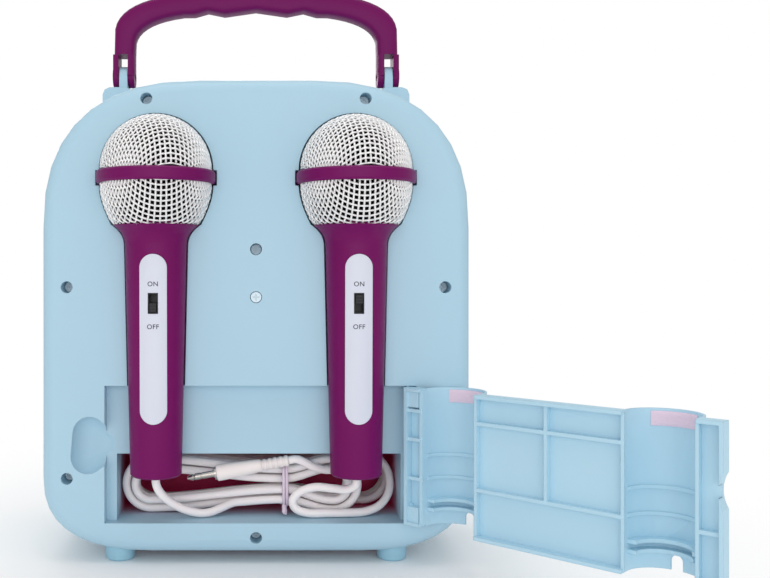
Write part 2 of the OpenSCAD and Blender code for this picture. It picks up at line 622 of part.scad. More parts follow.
module display_window() color([0.15, 0.05, 0.1]) {
    block([-button_x - 12.8, front_y + 0.2, display_z - 6.8], [-button_x + 12.8, front_y + 2, display_z + 6.8]);
    block([-button_x - 14, front_y + wall + 0.1, display_z - 8], [-button_x + 14, front_y + wall + 6, display_z + 8]);
    block([-button_x - 12, front_y + 1.9, display_z - 6], [-button_x + 12, front_y + wall + 0.2, display_z + 6]);
}
module power_switch() color(ink) difference() {
    block([button_x - 5, front_y + wall + 0.2, power_z - 8], [button_x + 5, control_y - 0.3, power_z + 8]);
    block([button_x - 2.4, front_y, power_z - 5.2], [button_x + 2.4, front_y + wall + 5, power_z + 5.2]);
}
power_travel = 4;
module power_slider() color(plum)
    block([button_x - 2.2, front_y - 1.4, power_z - 4.9], [button_x + 2.2, front_y + wall + 4.8, power_z - 4.9 + 5.6]);

// Sockets on the side of the case
socket_y = -34;
socket_z = [120, 104, 88, 72];
socket_neck_r = 4;
jack_r = 1.8;
module socket(z, bore, depth) difference() {
    union() {
        rod_x(socket_y, z, socket_neck_r, half_w - wall - 1, half_w + 0.6);
        block([half_w - wall - 14, socket_y - 5.5, z - 5.5], [half_w - wall - 0.3, socket_y + 5.5, z + 5.5]);
    }
    rod_x(socket_y, z, bore, half_w + 0.6 - depth, half_w + 2);
}
module mic_sockets() color(ink) for (z = [socket_z[0], socket_z[1]]) socket(z, jack_r, 14);
module av_socket() color(ink) socket(socket_z[2], jack_r, 14);
module power_socket() color(ink) {
    socket(socket_z[3], 2.75, 10);
    rod_x(socket_y, socket_z[3], 1, half_w - 11, half_w - 0.6);
}

// Microphones
inlay_w = 13.6;
inlay_z0 = 27.9;
inlay_z1 = 112.6;
switch_mid = 88.1;
switch_w = 5;
switch_l = 10.3;
gland_r = 3.4;
module inlay_outline(grow) rotate([-90, 0, 0]) linear_extrude(40) {
    translate([-inlay_w / 2 - grow, -inlay_z1 + inlay_w / 2])
        square([inlay_w + 2 * grow, inlay_z1 - inlay_z0 - inlay_w]);
    for (z = [inlay_z0 + inlay_w / 2, inlay_z1 - inlay_w / 2])
        translate([0, -z]) circle(r = inlay_w / 2 + grow, $fn = 48);
}
module switch_hole(grow)
    block([-switch_w / 2 - grow, 8, switch_mid - switch_l / 2 - grow],
        [switch_w / 2 + grow, 30, switch_mid + switch_l / 2 + grow]);

module mic_body(side) color(plum) at_mic(side) difference() {
    union() {
        body_revolve(0);
        translate([0, 0, collar_h - 0.1]) cylinder(r = collar_r - 2.2, h = 4, $fn = 64);
    }
    intersection() {
        inlay_outline(0.05);
        difference() {
            body_revolve(2);
            translate([0, 0, -1]) body_revolve(-1.1);
        }
    }
    translate([0, -1.4, 0]) switch_hole(0.05);
}
module mic_inlay(side) color(pale) at_mic(side) difference() {
    intersection() {
        inlay_outline(0);
        difference() {
            body_revolve(0.25);
            translate([0, 0, -0.1]) body_revolve(-1);
        }
    }
    switch_hole(0.05);
}
module mic_switch_case(side) color(ink) at_mic(side) difference() {
    intersection() {
        translate([0, -1.2, 0]) switch_hole(0);
        body_revolve(-0.4);
    }
    block([-1.9, 9.4, switch_mid - switch_l / 2 + 0.6], [1.9, 30, switch_mid + switch_l / 2 - 0.6]);
}
module mic_switch(side, up) color([0.12, 0.12, 0.13]) at_mic(side) {
    low = switch_mid - switch_l / 2 + 0.8 + (up ? mic_switch_travel - 0.4 : 0);
    block([-1.7, 9.6, low], [1.7, waist_r - 0.4, low + 4.5]);
    for (i = [0:2]) block([-1.7, waist_r - 0.5, low + 0.3 + i * 1.5], [1.7, waist_r + 0.2, low + 1.1 + i * 1.5]);
}
module mic_grille(side) color(steel) at_mic(side) rotate_extrude($fn = 72) {
    polygon(concat(basket_curve, [[ball_r, ring_h - 3.9]],
        [[ball_r - 1.6, ring_h - 3.9]], [for (i = [0:4]) [basket_curve[4 - i][0] - 1.6, basket_curve[4 - i][1]]]));
    polygon(concat(ball_curve, [[0, ball_h + ball_r - 1.6]],
        [for (i = [0:11]) let (q = ball_curve[11 - i]) [q[0] - 1.6 * q[0] / ball_r, q[1] - 1.6 * (q[1] - ball_h) / ball_r]]));
    polygon([[ball_r - 1.8, ring_h - 4], [ball_r - 0.1, ring_h - 4], [ball_r - 0.1, ring_h + 0.2], [ball_r - 1.8, ring_h + 0.2]]);
}
module mic_ring(side) color(plum) at_mic(side) translate([0, 0, ring_h - ring_t / 2])
    rotate_extrude($fn = 72) polygon([[ball_r + 0.05, 0], [ring_r - 0.9, 0], [ring_r, 1], [ring_r, ring_t - 1],
        [ring_r - 0.9, ring_t], [ball_r + 0.05, ring_t]]);

// A tube swept along a list of points, square to its first and last stretch
function unit(v) = v / norm(v);
function tangent(path, i) = let (n = len(path) - 1)
    unit(path[min(i + 1, n)] - path[max(i - 1, 0)]);
function tube_ring(p, t, r, sides) = let (a = unit([0, 1, 0] - t[1] * t), b = cross(t, a))
    [for (k = [0:sides - 1]) let (g = 360 * k / sides) p + r * (cos(g) * a + sin(g) * b)];
module tube(path, r, sides) skin([for (i = [0:len(path) - 1])
    tube_ring(path[i], tangent(path, i), r, sides)]);

// A hank: a helix of long loops with round ends, drawn in at the waist. u counts loops; within
// a loop come the lower run, the right end, the upper run and the left end.
hank_zc = 37;
hank_r = 13.2;
loop_pitch = 5;
waist_pitch = 5.3;
waist_half = 2.5 + waist_pitch;
waist_x = -15;
hank_left_x = 55.8;
function draw_in(x, xr) = x > waist_x
    ? (1 - cos(180 * (hank_left_x - x) / (hank_left_x - waist_x))) / 2
    : (1 - cos(180 * (x - xr) / (waist_x - xr))) / 2;
function run_z(x, xr, off) = let (w = draw_in(x, xr))
    (hank_r - off * loop_pitch) * (1 - w) + (waist_half - off * waist_pitch) * w;
function loop_point(u, off, xr, y) = let (f = 4 * (u - floor(u)), s = f - floor(f), r = hank_r - off * loop_pitch)
    f < 1 ? let (x = hank_left_x + (xr - hank_left_x) * s) [x, y, hank_zc - run_z(x, xr, off)]
    : f < 2 ? [xr - r * sin(180 * s), y, hank_zc - r * cos(180 * s)]
    : f < 3 ? let (x = xr + (hank_left_x - xr) * s) [x, y, hank_zc + run_z(x, xr, off)]
    : [hank_left_x + r * sin(180 * s), y, hank_zc + r * cos(180 * s)];
// 24 rings a loop, closer together round the ends
loop_marks = concat([for (i = [0:4]) 0.05 * i], [for (i = [0:6]) 0.25 + 0.25 * i / 7],
    [for (i = [0:4]) 0.5 + 0.05 * i], [for (i = [0:6]) 0.75 + 0.25 * i / 7]);
function marks(u0, u1) = concat([u0], [for (n = [floor(u0):floor(u1)], m = loop_marks)
    if (n + m > u0 + 0.012 && n + m < u1 - 0.012) n + m], [u1]);

left_end_x = -40.6;
left_u0 = 0.126;
left_turn = left_u0 + left_turns;
left_u1 = left_turn + 0.1 + left_turns + 0.274;
left_y = 40;
function smooth(t) = t < 0 ? 0 : t > 1 ? 1 : t * t * (3 - 2 * t);
left_loops = [for (u = marks(left_u0, left_u1))
    let (off = smooth((u - left_turn) / 0.12),
        y = u < left_turn + 0.06 ? left_y - loop_pitch * (u - left_u0)
            : left_y - loop_pitch * (2 * left_turn + 0.12 - left_u0 - u))
    loop_point(u, off, left_end_x, y)];

right_end_x = -58.6;
right_u0 = 0.505;
right_u1 = right_u0 + right_turns + 0.06;
right_y = 22.4;
right_loops = [for (u = marks(right_u0, right_u1))
    loop_point(u, 0, right_end_x, right_y - loop_pitch * (u - right_u0))];

// A free stretch stops half a millimetre short of its hank
function short_of(p, q) = p - 0.5 * unit(p - q);

// Route points of the free stretches, and of the tails that run from the loops to the plugs
left_route = concat([[51, 58, 46], [51, 58, 41.5], [49, 56, 36.5], [44.5, 52, 31], [38, 49, 26.5],
    [30, 47.5, 24], [24, 46, 24], [18, 43, 25.6], [12.5, 40.4, 27.4]],
    [short_of(left_loops[0], [12.5, 40.4, 27.4])]);
left_tail = [[-36.5, 41.8, 45.2], [-31, 43.4, 46.8], [-26, 45.2, 49.6], [-21.3, 46.7, 51.8], [-17, 47, 51.2]];
right_route = concat([[-51, 58, 46], [-51, 58, 41.5], [-47, 55, 38], [-40, 51, 37.5], [-31, 48, 37.5],
    [-23, 47.5, 35], [-19, 47.5, 30.5], [-21, 47.5, 26], [-28, 47.5, 23.8], [-38, 47, 23.8],
    [-48, 46.5, 23.8], [-57, 44.5, 23.9], [-65, 41, 26.2], [-70.3, 36.5, 31.5], [-71.7, 32, 38],
    [-70.2, 27.8, 44], [-66, 24.2, 48.3], [-61, 22.7, 50.1]],
    [short_of(right_loops[0], [-61, 22.7, 50.1])]);
right_tail = [[-23, 5.2, 45.2], [-17, 1.8, 44.4], [-11, -0.6, 43.7], [-5, -1, 43.4]];
left_hank = concat(left_loops, left_tail);
right_hank = concat(right_loops, right_tail);

function closest(path, skip) = min([for (i = [0:len(path) - 1]) for (j = [i + 1:len(path) - 1])
    if (j - i > skip) norm(path[i] - path[j])]);
echo(left_hank_gap = closest(left_hank, 12) - cord_d, right_hank_gap = closest(right_hank, 12) - cord_d);

module hank(path) color(ivory) tube(path, cord_d / 2, 6);
module cord(route) color(ivory) tube(route, cord_d / 2, 8);
tie_t = 0.8;
module tie(y0, y1) color([0.97, 0.97, 0.97]) {
    h = waist_half + cord_d / 2 + 0.5;
    difference() {
        block([waist_x - 1.6, y0 - tie_t, hank_zc - h - tie_t], [waist_x + 1.6, y1 + tie_t, hank_zc + h + tie_t]);
        block([waist_x - 3, y0, hank_zc - h], [waist_x + 3, y1, hank_zc + h]);
    }
}

// Plug: ribbed strain relief, tapered grip, metal collar and a ringed 3.5 mm tip
plug_len = 55;
relief_l = 14.5;
grip_l = 23.5;
plug_r = 4.2;
module plug_form() rotate_extrude($fn = 48) polygon(concat([[0, 0.05], [2.5, 0.05]],
    [for (i = [0:4]) each [[2.9, 0.6 + i * 2.8], [2.9, 2 + i * 2.8], [2.5, 2.2 + i * 2.8], [2.5, 3 + i * 2.8]]],
    [[3.1, relief_l], [3.4, relief_l + 2], [plug_r, relief_l + grip_l - 5], [plug_r, relief_l + grip_l - 0.4],
     [plug_r - 0.4, relief_l + grip_l], [0, relief_l + grip_l]]));
module tip_form() rotate_extrude($fn = 48) polygon([[0, 0.05], [3.3, 0.05], [3.3, 1.2], [1.75, 1.2],
    [1.75, 7.6], [1.5, 7.7], [1.5, 8.3], [1.75, 8.4], [1.75, 11.4], [1.3, 12], [1.75, 12.8], [0.8, 15.6], [0, 15.9]]);
left_plug_from = [-17, 47, 51.2];
left_plug_tilt = 99.9;
right_plug_from = [-5, -1, 43.4];
module left_plug_place() translate(left_plug_from) rotate([0, left_plug_tilt, 0]) children();
module right_plug_place() translate(right_plug_from) rotate([0, 90, 0]) children();

module mic_left_body() mic_body(1);
module mic_left_grille() mic_grille(1);
module mic_left_ring() mic_ring(1);
module mic_left_inlay() mic_inlay(1);
module mic_left_switch_case() mic_switch_case(1);
module mic_left_switch() mic_switch(1, false);
module mic_left_cord() cord(left_route);
module mic_left_hank() hank(left_hank);
module mic_left_tie() tie(left_y - loop_pitch * (left_turns + 0.1) - cord_d / 2 - 0.5, left_y + cord_d / 2 + 0.3);
module mic_left_plug() color(ivory) left_plug_place() plug_form();
module mic_left_plug_tip() color(steel) left_plug_place() translate([0, 0, relief_l + grip_l]) tip_form();

module mic_right_body() mic_body(-1);
module mic_right_grille() mic_grille(-1);
module mic_right_ring() mic_ring(-1);
module mic_right_inlay() mic_inlay(-1);
module mic_right_switch_case() mic_switch_case(-1);
module mic_right_switch() mic_switch(-1, true);
module mic_right_cord() cord(right_route);
module mic_right_hank() hank(right_hank);
module mic_right_tie() tie(right_y - loop_pitch * right_turns - cord_d / 2 - 0.3, right_y + cord_d / 2 + 0.3);
module mic_right_plug() color(ivory) right_plug_place() {
    plug_form();
    translate([0, 0, relief_l + grip_l - 0.1]) tip_form();
}

rear_shell();
front_shell();
feet();
case_screws();
handle();
handle_pins();
storage_door();
door_pads();
speaker_grille();
speaker_frame();
speaker_magnet();
speaker_surround();
speaker_cone();
disc_tray();
disc_lid();
lid_window();
lid_pin();
turntable();
spindle_motor();
drive_base();
sled_rods();
laser_sled();
lead_screw();
sled_motor();
main_board();
control_board();
potentiometers();
display_window();
power_switch();
power_slider();
mic_sockets();
av_socket();
power_socket();
volume_knob();
echo_knob();
play_button();
stop_button();
back_button();
next_button();
mic_left_body();
mic_left_grille();
mic_left_ring();
mic_left_inlay();
mic_left_switch_case();
mic_left_switch();
mic_left_cord();
mic_left_hank();
mic_left_tie();
mic_left_plug();
mic_left_plug_tip();
mic_right_body();
mic_right_grille();
mic_right_ring();
mic_right_inlay();
mic_right_switch_case();
mic_right_switch();
mic_right_cord();
mic_right_hank();
mic_right_tie();
mic_right_plug();
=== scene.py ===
import json
import math

import bmesh
import bpy
from mathutils import Matrix, Vector
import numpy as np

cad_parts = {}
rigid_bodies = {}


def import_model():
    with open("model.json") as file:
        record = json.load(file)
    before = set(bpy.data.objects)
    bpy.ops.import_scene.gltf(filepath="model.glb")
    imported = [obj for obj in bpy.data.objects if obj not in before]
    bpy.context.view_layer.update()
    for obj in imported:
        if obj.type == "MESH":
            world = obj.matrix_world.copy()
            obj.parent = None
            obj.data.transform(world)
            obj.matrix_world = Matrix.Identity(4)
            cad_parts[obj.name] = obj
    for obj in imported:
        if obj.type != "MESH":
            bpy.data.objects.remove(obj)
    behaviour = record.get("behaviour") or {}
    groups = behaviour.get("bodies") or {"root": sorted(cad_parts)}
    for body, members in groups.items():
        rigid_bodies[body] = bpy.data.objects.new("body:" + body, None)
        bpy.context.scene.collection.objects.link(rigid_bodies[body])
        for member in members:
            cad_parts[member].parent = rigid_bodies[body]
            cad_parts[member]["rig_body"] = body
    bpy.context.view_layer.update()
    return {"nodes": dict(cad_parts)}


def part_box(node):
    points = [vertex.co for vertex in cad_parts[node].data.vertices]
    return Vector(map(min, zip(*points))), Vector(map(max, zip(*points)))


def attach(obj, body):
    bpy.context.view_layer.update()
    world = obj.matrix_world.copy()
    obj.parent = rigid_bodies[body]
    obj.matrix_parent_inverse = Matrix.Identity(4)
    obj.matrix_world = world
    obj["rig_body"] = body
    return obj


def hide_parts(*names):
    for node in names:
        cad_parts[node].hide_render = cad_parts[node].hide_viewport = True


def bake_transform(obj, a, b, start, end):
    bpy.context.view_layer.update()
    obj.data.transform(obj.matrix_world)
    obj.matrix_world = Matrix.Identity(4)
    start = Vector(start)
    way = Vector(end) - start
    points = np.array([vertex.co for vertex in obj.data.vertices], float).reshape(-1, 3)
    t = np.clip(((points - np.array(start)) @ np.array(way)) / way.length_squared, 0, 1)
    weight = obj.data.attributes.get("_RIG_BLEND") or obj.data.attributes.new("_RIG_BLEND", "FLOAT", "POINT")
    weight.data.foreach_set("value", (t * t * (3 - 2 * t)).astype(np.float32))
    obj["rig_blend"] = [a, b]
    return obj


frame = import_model()
mm = 0.001


# Camera
# A level view square to the back of the case, from half a metre away. The shift places the
# machine left of the middle, so that the open door has room on the right.
lens_data = bpy.data.cameras.new("camera")
camera = bpy.data.objects.new("camera", lens_data)
bpy.context.scene.collection.objects.link(camera)
camera.location = (0, 0.5425, 0.1515)
camera.rotation_euler = (math.radians(90), 0, math.radians(180))
lens_data.sensor_width = 36
lens_data.lens = 44.4
lens_data.shift_x = 0.1675
lens_data.shift_y = -0.027
lens_data.clip_start = 0.02
bpy.context.scene.camera = camera
bpy.context.scene.view_settings.view_transform = "Standard"


# Cords
# Each microphone has a soft white PVC cord, 4.4 mm thick. It leaves the lower end of the
# handle, drops into the pocket and is wound there in long loops, drawn in by a tie.
def linear(red, green, blue):
    """A colour written in the screen's 0 to 255, as the light values that shaders take."""
    parts = [c / 255 for c in (red, green, blue)]
    return tuple(p / 12.92 if p < 0.04045 else ((p + 0.055) / 1.055) ** 2.4 for p in parts) + (1,)


class Signal:
    """One shader socket. Sums written on it become Math nodes."""

    def __init__(self, finish, socket):
        self.finish = finish
        self.socket = socket

    def maths(self, operation, *terms):
        return self.finish.node("ShaderNodeMath", {"operation": operation}, dict(enumerate(terms)))

    def __add__(self, other):
        return self.maths("ADD", self, other)

    def __radd__(self, other):
        return self.maths("ADD", other, self)

    def __mul__(self, other):
        return self.maths("MULTIPLY", self, other)

    def __rmul__(self, other):
        return self.maths("MULTIPLY", other, self)


class Finish:
    """A material for one surface of the machine, with its shader ready."""

    def __init__(self, name, **constants):
        self.material = bpy.data.materials.new(name)
        self.material.use_nodes = True
        self.tree = self.material.node_tree
        self.shader = self.tree.nodes["Principled BSDF"]
        for key, value in constants.items():
            self.shader.inputs[key.replace("_", " ")].default_value = value

    def node(self, kind, settings, values, out=0):
        made = self.tree.nodes.new(kind)
        for key, value in settings.items():
            if key == "stops":
                ramp = made.color_ramp
                while len(ramp.elements) < len(value):
                    ramp.elements.new(0.5)
                for stop, (place, colour) in zip(ramp.elements, value):
                    stop.position = place
                    stop.color = colour
            else:
                setattr(made, key, value)
        for key, value in values.items():
            if isinstance(value, Signal):
                self.tree.links.new(value.socket, made.inputs[key])
            else:
                made.inputs[key].default_value = value
        return Signal(self, made.outputs[out])

    def feed(self, **signals):
        for key, signal in signals.items():
            self.tree.links.new(signal.socket, self.shader.inputs[key.replace("_", " ")])

    def place(self):
        return self.node("ShaderNodeTexCoord", {}, {}, "Object")

    def noise(self, scale, detail=2.0, stretch=None):
        where = self.place()
        if stretch:
            where = self.node("ShaderNodeMapping", {}, {"Vector": where, "Scale": stretch})
        return self.node("ShaderNodeTexNoise", {}, {"Vector": where, "Scale": scale, "Detail": detail})

    def blend(self, share, first, second):
        return self.node("ShaderNodeMix", {"data_type": "RGBA"}, {0: share, 6: first, 7: second}, 2)


def dress(piece, *finishes):
    piece.data.materials.clear()
    for finish in finishes:
        piece.data.materials.append(finish.material)
    return piece


def smooth_line(points, step):
    """A curve through the points, cut into stretches of about that step."""
    points = [Vector(p) for p in points]
    ends = [2 * points[0] - points[1], *points, 2 * points[-1] - points[-2]]
    line = []
    for a, b, c, d in zip(ends, ends[1:], ends[2:], ends[3:]):
        cuts = max(1, round((c - b).length / step))
        for k in range(cuts):
            t = k / cuts
            line.append(0.5 * (2 * b + (c - a) * t + (2 * a - 5 * b + 4 * c - d) * t * t
                               + (3 * b - a - 3 * c + d) * t ** 3))
    line.append(points[-1])
    return line


cord_d = 4.4
mic_places = {"left": 51, "right": -51}
mic_axis_y, mic_low_z = 58, 46

pvc = Finish("cord_pvc", Specular_IOR_Level=0.42, Subsurface_Weight=0.06, Subsurface_Scale=0.002)
pvc_cloud = pvc.noise(26.0)
pvc_grain = pvc.noise(1500.0, 3.0)
pvc.feed(
    Base_Color=pvc.blend(pvc_cloud, linear(255, 251, 250), linear(250, 240, 243)),
    Roughness=0.36 + pvc_grain * 0.12,
    Normal=pvc.node("ShaderNodeBump", {}, {"Strength": 0.12, "Distance": 0.0001, "Height": pvc_grain}),
)


def link(name, mesh):
    """A new object in the scene, at the origin, that holds the mesh."""
    piece = bpy.data.objects.new(name, mesh)
    bpy.context.scene.collection.objects.link(piece)
    return piece


def settled(piece):
    """The plain mesh that a curve, a text or a piece with modifiers comes to."""
    return bpy.data.meshes.new_from_object(piece.evaluated_get(bpy.context.evaluated_depsgraph_get()))


def tube_mesh(name, lines, thickness, sides=2):
    """Round wires along some lines in millimetres, as one plain mesh."""
    data = bpy.data.curves.new(name, "CURVE")
    data.dimensions = "3D"
    data.bevel_depth = thickness / 2 * mm
    data.bevel_resolution = sides
    data.use_fill_caps = True
    for line in lines:
        spline = data.splines.new("POLY")
        spline.points.add(len(line) - 1)
        for point, p in zip(spline.points, line):
            point.co = (*(Vector(p) * mm), 1)
        spline.use_smooth = True
    rope = bpy.data.objects.new(name, data)
    bpy.context.scene.collection.objects.link(rope)
    mesh = settled(rope)
    bpy.data.objects.remove(rope)
    mesh.name = name
    return mesh


def lay_cord(name, line, nodes, bodies):
    """A round cord along a line in millimetres.

    It rides on one body, or bends between the body at its start and the one at its end.
    """
    cord = dress(link(name, tube_mesh(name, [line], cord_d, 3)), pvc)
    if len(bodies) > 1:
        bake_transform(cord, *bodies, start=Vector(line[0]) * mm, end=Vector(line[-1]) * mm)
    else:
        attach(cord, *bodies)
    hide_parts(*nodes)


hank_mid_z = 37
hank_r = 13.2
loop_pitch = 5
waist_pitch = 5.3
waist_half = 2.5 + waist_pitch
waist_x = -15
hank_left_x = 55.8
steps_a_loop = 96


def half_height(x, right_x, off):
    """How far a run lies from the hank's middle line: full at the ends, drawn in at the tie."""
    if x > waist_x:
        drawn = (1 - math.cos(math.pi * (hank_left_x - x) / (hank_left_x - waist_x))) / 2
    else:
        drawn = (1 - math.cos(math.pi * (x - right_x) / (waist_x - right_x))) / 2
    return (hank_r - off * loop_pitch) * (1 - drawn) + (waist_half - off * waist_pitch) * drawn


def loop_point(u, off, right_x, y):
    """A point of the hank after u loops: lower run, right end, upper run, left end."""
    quarter = 4 * (u - math.floor(u))
    s = quarter - math.floor(quarter)
    r = hank_r - off * loop_pitch
    if quarter < 1:
        x = hank_left_x + (right_x - hank_left_x) * s
        return (x, y, hank_mid_z - half_height(x, right_x, off))
    if quarter < 2:
        return (right_x - r * math.sin(math.pi * s), y, hank_mid_z - r * math.cos(math.pi * s))
    if quarter < 3:
        x = right_x + (hank_left_x - right_x) * s
        return (x, y, hank_mid_z + half_height(x, right_x, off))
    return (hank_left_x + r * math.sin(math.pi * s), y, hank_mid_z + r * math.cos(math.pi * s))


def loops(first_u, last_u, right_x, depth, inner):
    count = round((last_u - first_u) * steps_a_loop)
    marks = [first_u + (last_u - first_u) * k / count for k in range(count + 1)]
    return [loop_point(u, inner(u), right_x, depth(u)) for u in marks]


def eased(t):
    t = min(1, max(0, t))
    return t * t * (3 - 2 * t)


# The left hank winds inwards for two loops, steps to its inner lane and winds back out.
left_start, left_turn, left_end = 0.126, 2.126, 4.5
left_first_y, left_right_x = 40, -40.6
lane_change = 0.12


def left_depth(u):
    inwards = u - left_start
    outwards = 2 * left_turn + lane_change - left_start - u
    return left_first_y - loop_pitch * (inwards if u < left_turn + lane_change / 2 else outwards)


def left_lane(u):
    return eased((u - left_turn) / lane_change)


left_loops = loops(left_start, left_end, left_right_x, left_depth, left_lane)
left_tail = [left_loops[-1], (-36.5, 41.8, 45.2), (-31, 43.4, 46.8), (-26, 45.2, 49.6),
             (-21.3, 46.7, 51.8), (-17, 47, 51.2)]
left_route = [(51, 58, 46), (51, 58, 41.5), (49, 56, 36.5), (44.5, 52, 31), (38, 49, 26.5),
              (30, 47.5, 24), (24, 46, 24), (18, 43, 25.6), (12.5, 40.4, 27.4), left_loops[0]]

# The right hank lies behind it, in three loops that wind inwards.
right_start, right_end = 0.505, 3.565
right_first_y, right_right_x = 22.4, -58.6


def right_depth(u):
    return right_first_y - loop_pitch * (u - right_start)


def right_lane(u):
    return 0


right_loops = loops(right_start, right_end, right_right_x, right_depth, right_lane)
right_tail = [right_loops[-1], (-23, 5.2, 45.2), (-17, 1.8, 44.4), (-11, -0.6, 43.7), (-5, -1, 43.4)]
right_route = [(-51, 58, 46), (-51, 58, 41.5), (-47, 55, 38), (-40, 51, 37.5), (-31, 48, 37.5),
               (-23, 47.5, 35), (-19, 47.5, 30.5), (-21, 47.5, 26), (-28, 47.5, 23.8),
               (-38, 47, 23.8), (-48, 46.5, 23.8), (-57, 44.5, 23.9), (-65, 41, 26.2),
               (-70.3, 36.5, 31.5), (-71.7, 32, 38), (-70.2, 27.8, 44), (-66, 24.2, 48.3),
               (-61, 22.7, 50.1), right_loops[0]]

for side, route in (("left", left_route), ("right", right_route)):
    free_line = smooth_line(route, 1.5)
    lay_cord(f"{side}_cord", free_line, [f"mic_{side}_cord"],
             (f"mic_{side}", "case"))


# Plugs and ties
# The jack plug is moulded on in cream PVC with a ribbed strain relief, and has a nickel tip.
# A white plastic-coated wire goes twice round the drawn-in loops and is twisted shut.
def remade(node, finish, sharp=32.0, name=None):
    """A copy of a CAD node with its loose triangles joined and its curves shaded smooth."""
    source = frame["nodes"][node]
    mesh = source.data.copy()
    shape = bmesh.new()
    shape.from_mesh(mesh)
    bmesh.ops.remove_doubles(shape, verts=shape.verts, dist=2e-6)
    bmesh.ops.dissolve_degenerate(shape, dist=1e-7, edges=shape.edges)
    shape.to_mesh(mesh)
    shape.free()
    for key in [a.name for a in mesh.attributes if a.name in ("custom_normal", "sharp_edge")]:
        mesh.attributes.remove(mesh.attributes[key])
    mesh.shade_smooth()
    mesh.set_sharp_from_angle(angle=math.radians(sharp))
    piece = link(name or node + "_form", mesh)
    weigh = piece.modifiers.new("weigh", "WEIGHTED_NORMAL")
    weigh.keep_sharp = True
    even = settled(piece)
    piece.modifiers.clear()
    piece.data = even
    even.name = piece.name
    dress(piece, finish)
    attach(piece, source["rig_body"])
    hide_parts(node)
    return piece


cream = Finish("plug_cream", Specular_IOR_Level=0.45)
cream_cloud = cream.noise(60.0)
cream_grain = cream.noise(1400.0, 3.0)
cream.feed(
    Base_Color=cream.blend(cream_cloud, linear(250, 244, 240), linear(244, 230, 230)),
    Roughness=0.38 + cream_grain * 0.1,
    Normal=cream.node("ShaderNodeBump", {}, {
        "Strength": 0.15, "Distance": 0.0001, "Height": cream_grain,
        "Normal": cream.node("ShaderNodeBevel", {"samples": 4}, {"Radius": 0.0003})}),
)
nickel = Finish("nickel", Metallic=1.0)
nickel_streak = nickel.noise(700.0, 3.0, (1.0, 1.0, 0.1))
nickel.feed(
    Base_Color=nickel.blend(nickel_streak, linear(214, 208, 200), linear(182, 176, 170)),
    Roughness=0.18 + nickel_streak * 0.14,
    Normal=nickel.node("ShaderNodeBevel", {"samples": 4}, {"Radius": 0.0002}),
)

left_plug = remade("mic_left_plug", cream)
left_tip = remade("mic_left_plug_tip", nickel)
right_plug = remade("mic_right_plug", cream)
right_plug_x, relief_long, grip_long = -5, 14.5, 23.5
metal_from_x = (right_plug_x + relief_long + grip_long - 0.05) * mm
right_plug.data.materials.append(nickel.material)
for face in right_plug.data.polygons:
    if face.center.x > metal_from_x:
        face.material_index = 1

tie_wire = Finish("tie_wire", Specular_IOR_Level=0.5)
tie_grain = tie_wire.noise(300.0, 2.0)
tie_wire.feed(
    Base_Color=tie_wire.blend(tie_grain, linear(240, 224, 238), linear(226, 206, 226)),
    Roughness=0.28 + tie_grain * 0.1,
)


tie_wire_d = 1.6
tie_spread = 3.4
tie_steps = 128
twist_r = 0.7
twist_steps = 13


def squared(part):
    """Swells a circle's sine or cosine, so that the turn becomes a rounded box."""
    return math.copysign(abs(part) ** 0.4, part)


def wind_tie(side, y_low, y_high):
    """Two turns of coated wire round the hank's waist, with a short twist in front."""
    half_z = waist_half + cord_d / 2 + 0.9
    y_mid, half_y = (y_low + y_high) / 2, (y_high - y_low) / 2 + 0.5
    turn = []
    for k in range(tie_steps + 1):
        a = 2 * math.pi * 2 * k / tie_steps - math.pi / 2
        turn.append((waist_x - tie_spread / 2 + tie_spread * k / tie_steps,
                     y_mid + half_y * squared(math.cos(a)),
                     hank_mid_z + half_z * squared(math.sin(a))))
    wires = [turn]
    for way in (0, math.pi):
        twist = []
        for k in range(twist_steps):
            a = k * 0.9 + way
            twist.append((waist_x + twist_r * math.sin(a),
                          y_mid + half_y - 1.5 + 0.3 * k,
                          hank_mid_z - half_z + 0.3 + twist_r * math.cos(a) - 0.25 * k))
        wires.append(twist)
    tie = link(f"{side}_tie", tube_mesh(f"{side}_tie", wires, tie_wire_d))
    dress(tie, tie_wire)
    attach(tie, "case")
    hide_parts(f"mic_{side}_tie")
    return tie


left_tie = wind_tie("left", left_first_y - 13.2, left_first_y + 2.5)
right_tie = wind_tie("right", right_first_y - 17.5, right_first_y + 2.5)
for side, line, pieces in (
        ("left", left_loops[:-1] + smooth_line(left_tail, 1.5), (left_plug, left_tip, left_tie)),
        ("right", right_loops[:-1] + smooth_line(right_tail, 1.5), (right_plug, right_tie))):
    lay_cord(f"{side}_hank", line, [f"mic_{side}_hank"],
             ("case",))


# Case
# Two half shells in sky-blue polystyrene, moulded with a fine satin skin and screwed
# together. The back one has a cradle for each microphone and the recess of the door.
def moulded(name, deep, light, roughness, edge=0.0006, grain=1100.0, depth=0.12, gloss=0.45):
    """A moulded plastic: a faint cloud of tone, a fine skin and softened edges."""
    finish = Finish(name, Specular_IOR_Level=gloss)
    cloud = finish.noise(7.0, 3.0)
    skin = finish.noise(grain, 3.0)
    soft = finish.node("ShaderNodeBevel", {"samples": 6}, {"Radius": edge})
    finish.feed(
        Base_Color=finish.blend(cloud, linear(*deep), linear(*light)),
        Roughness=roughness - 0.05 + skin * 0.1,
        Normal=finish.node("ShaderNodeBump", {}, {
            "Strength": depth, "Distance": 0.0001, "Height": skin, "Normal": soft}),
    )
    return finish


sky_deep, sky_light = (171, 208, 226), (181, 213, 230)
sky = moulded("sky_shell", sky_deep, sky_light, 0.46)
remade("front_shell", sky)
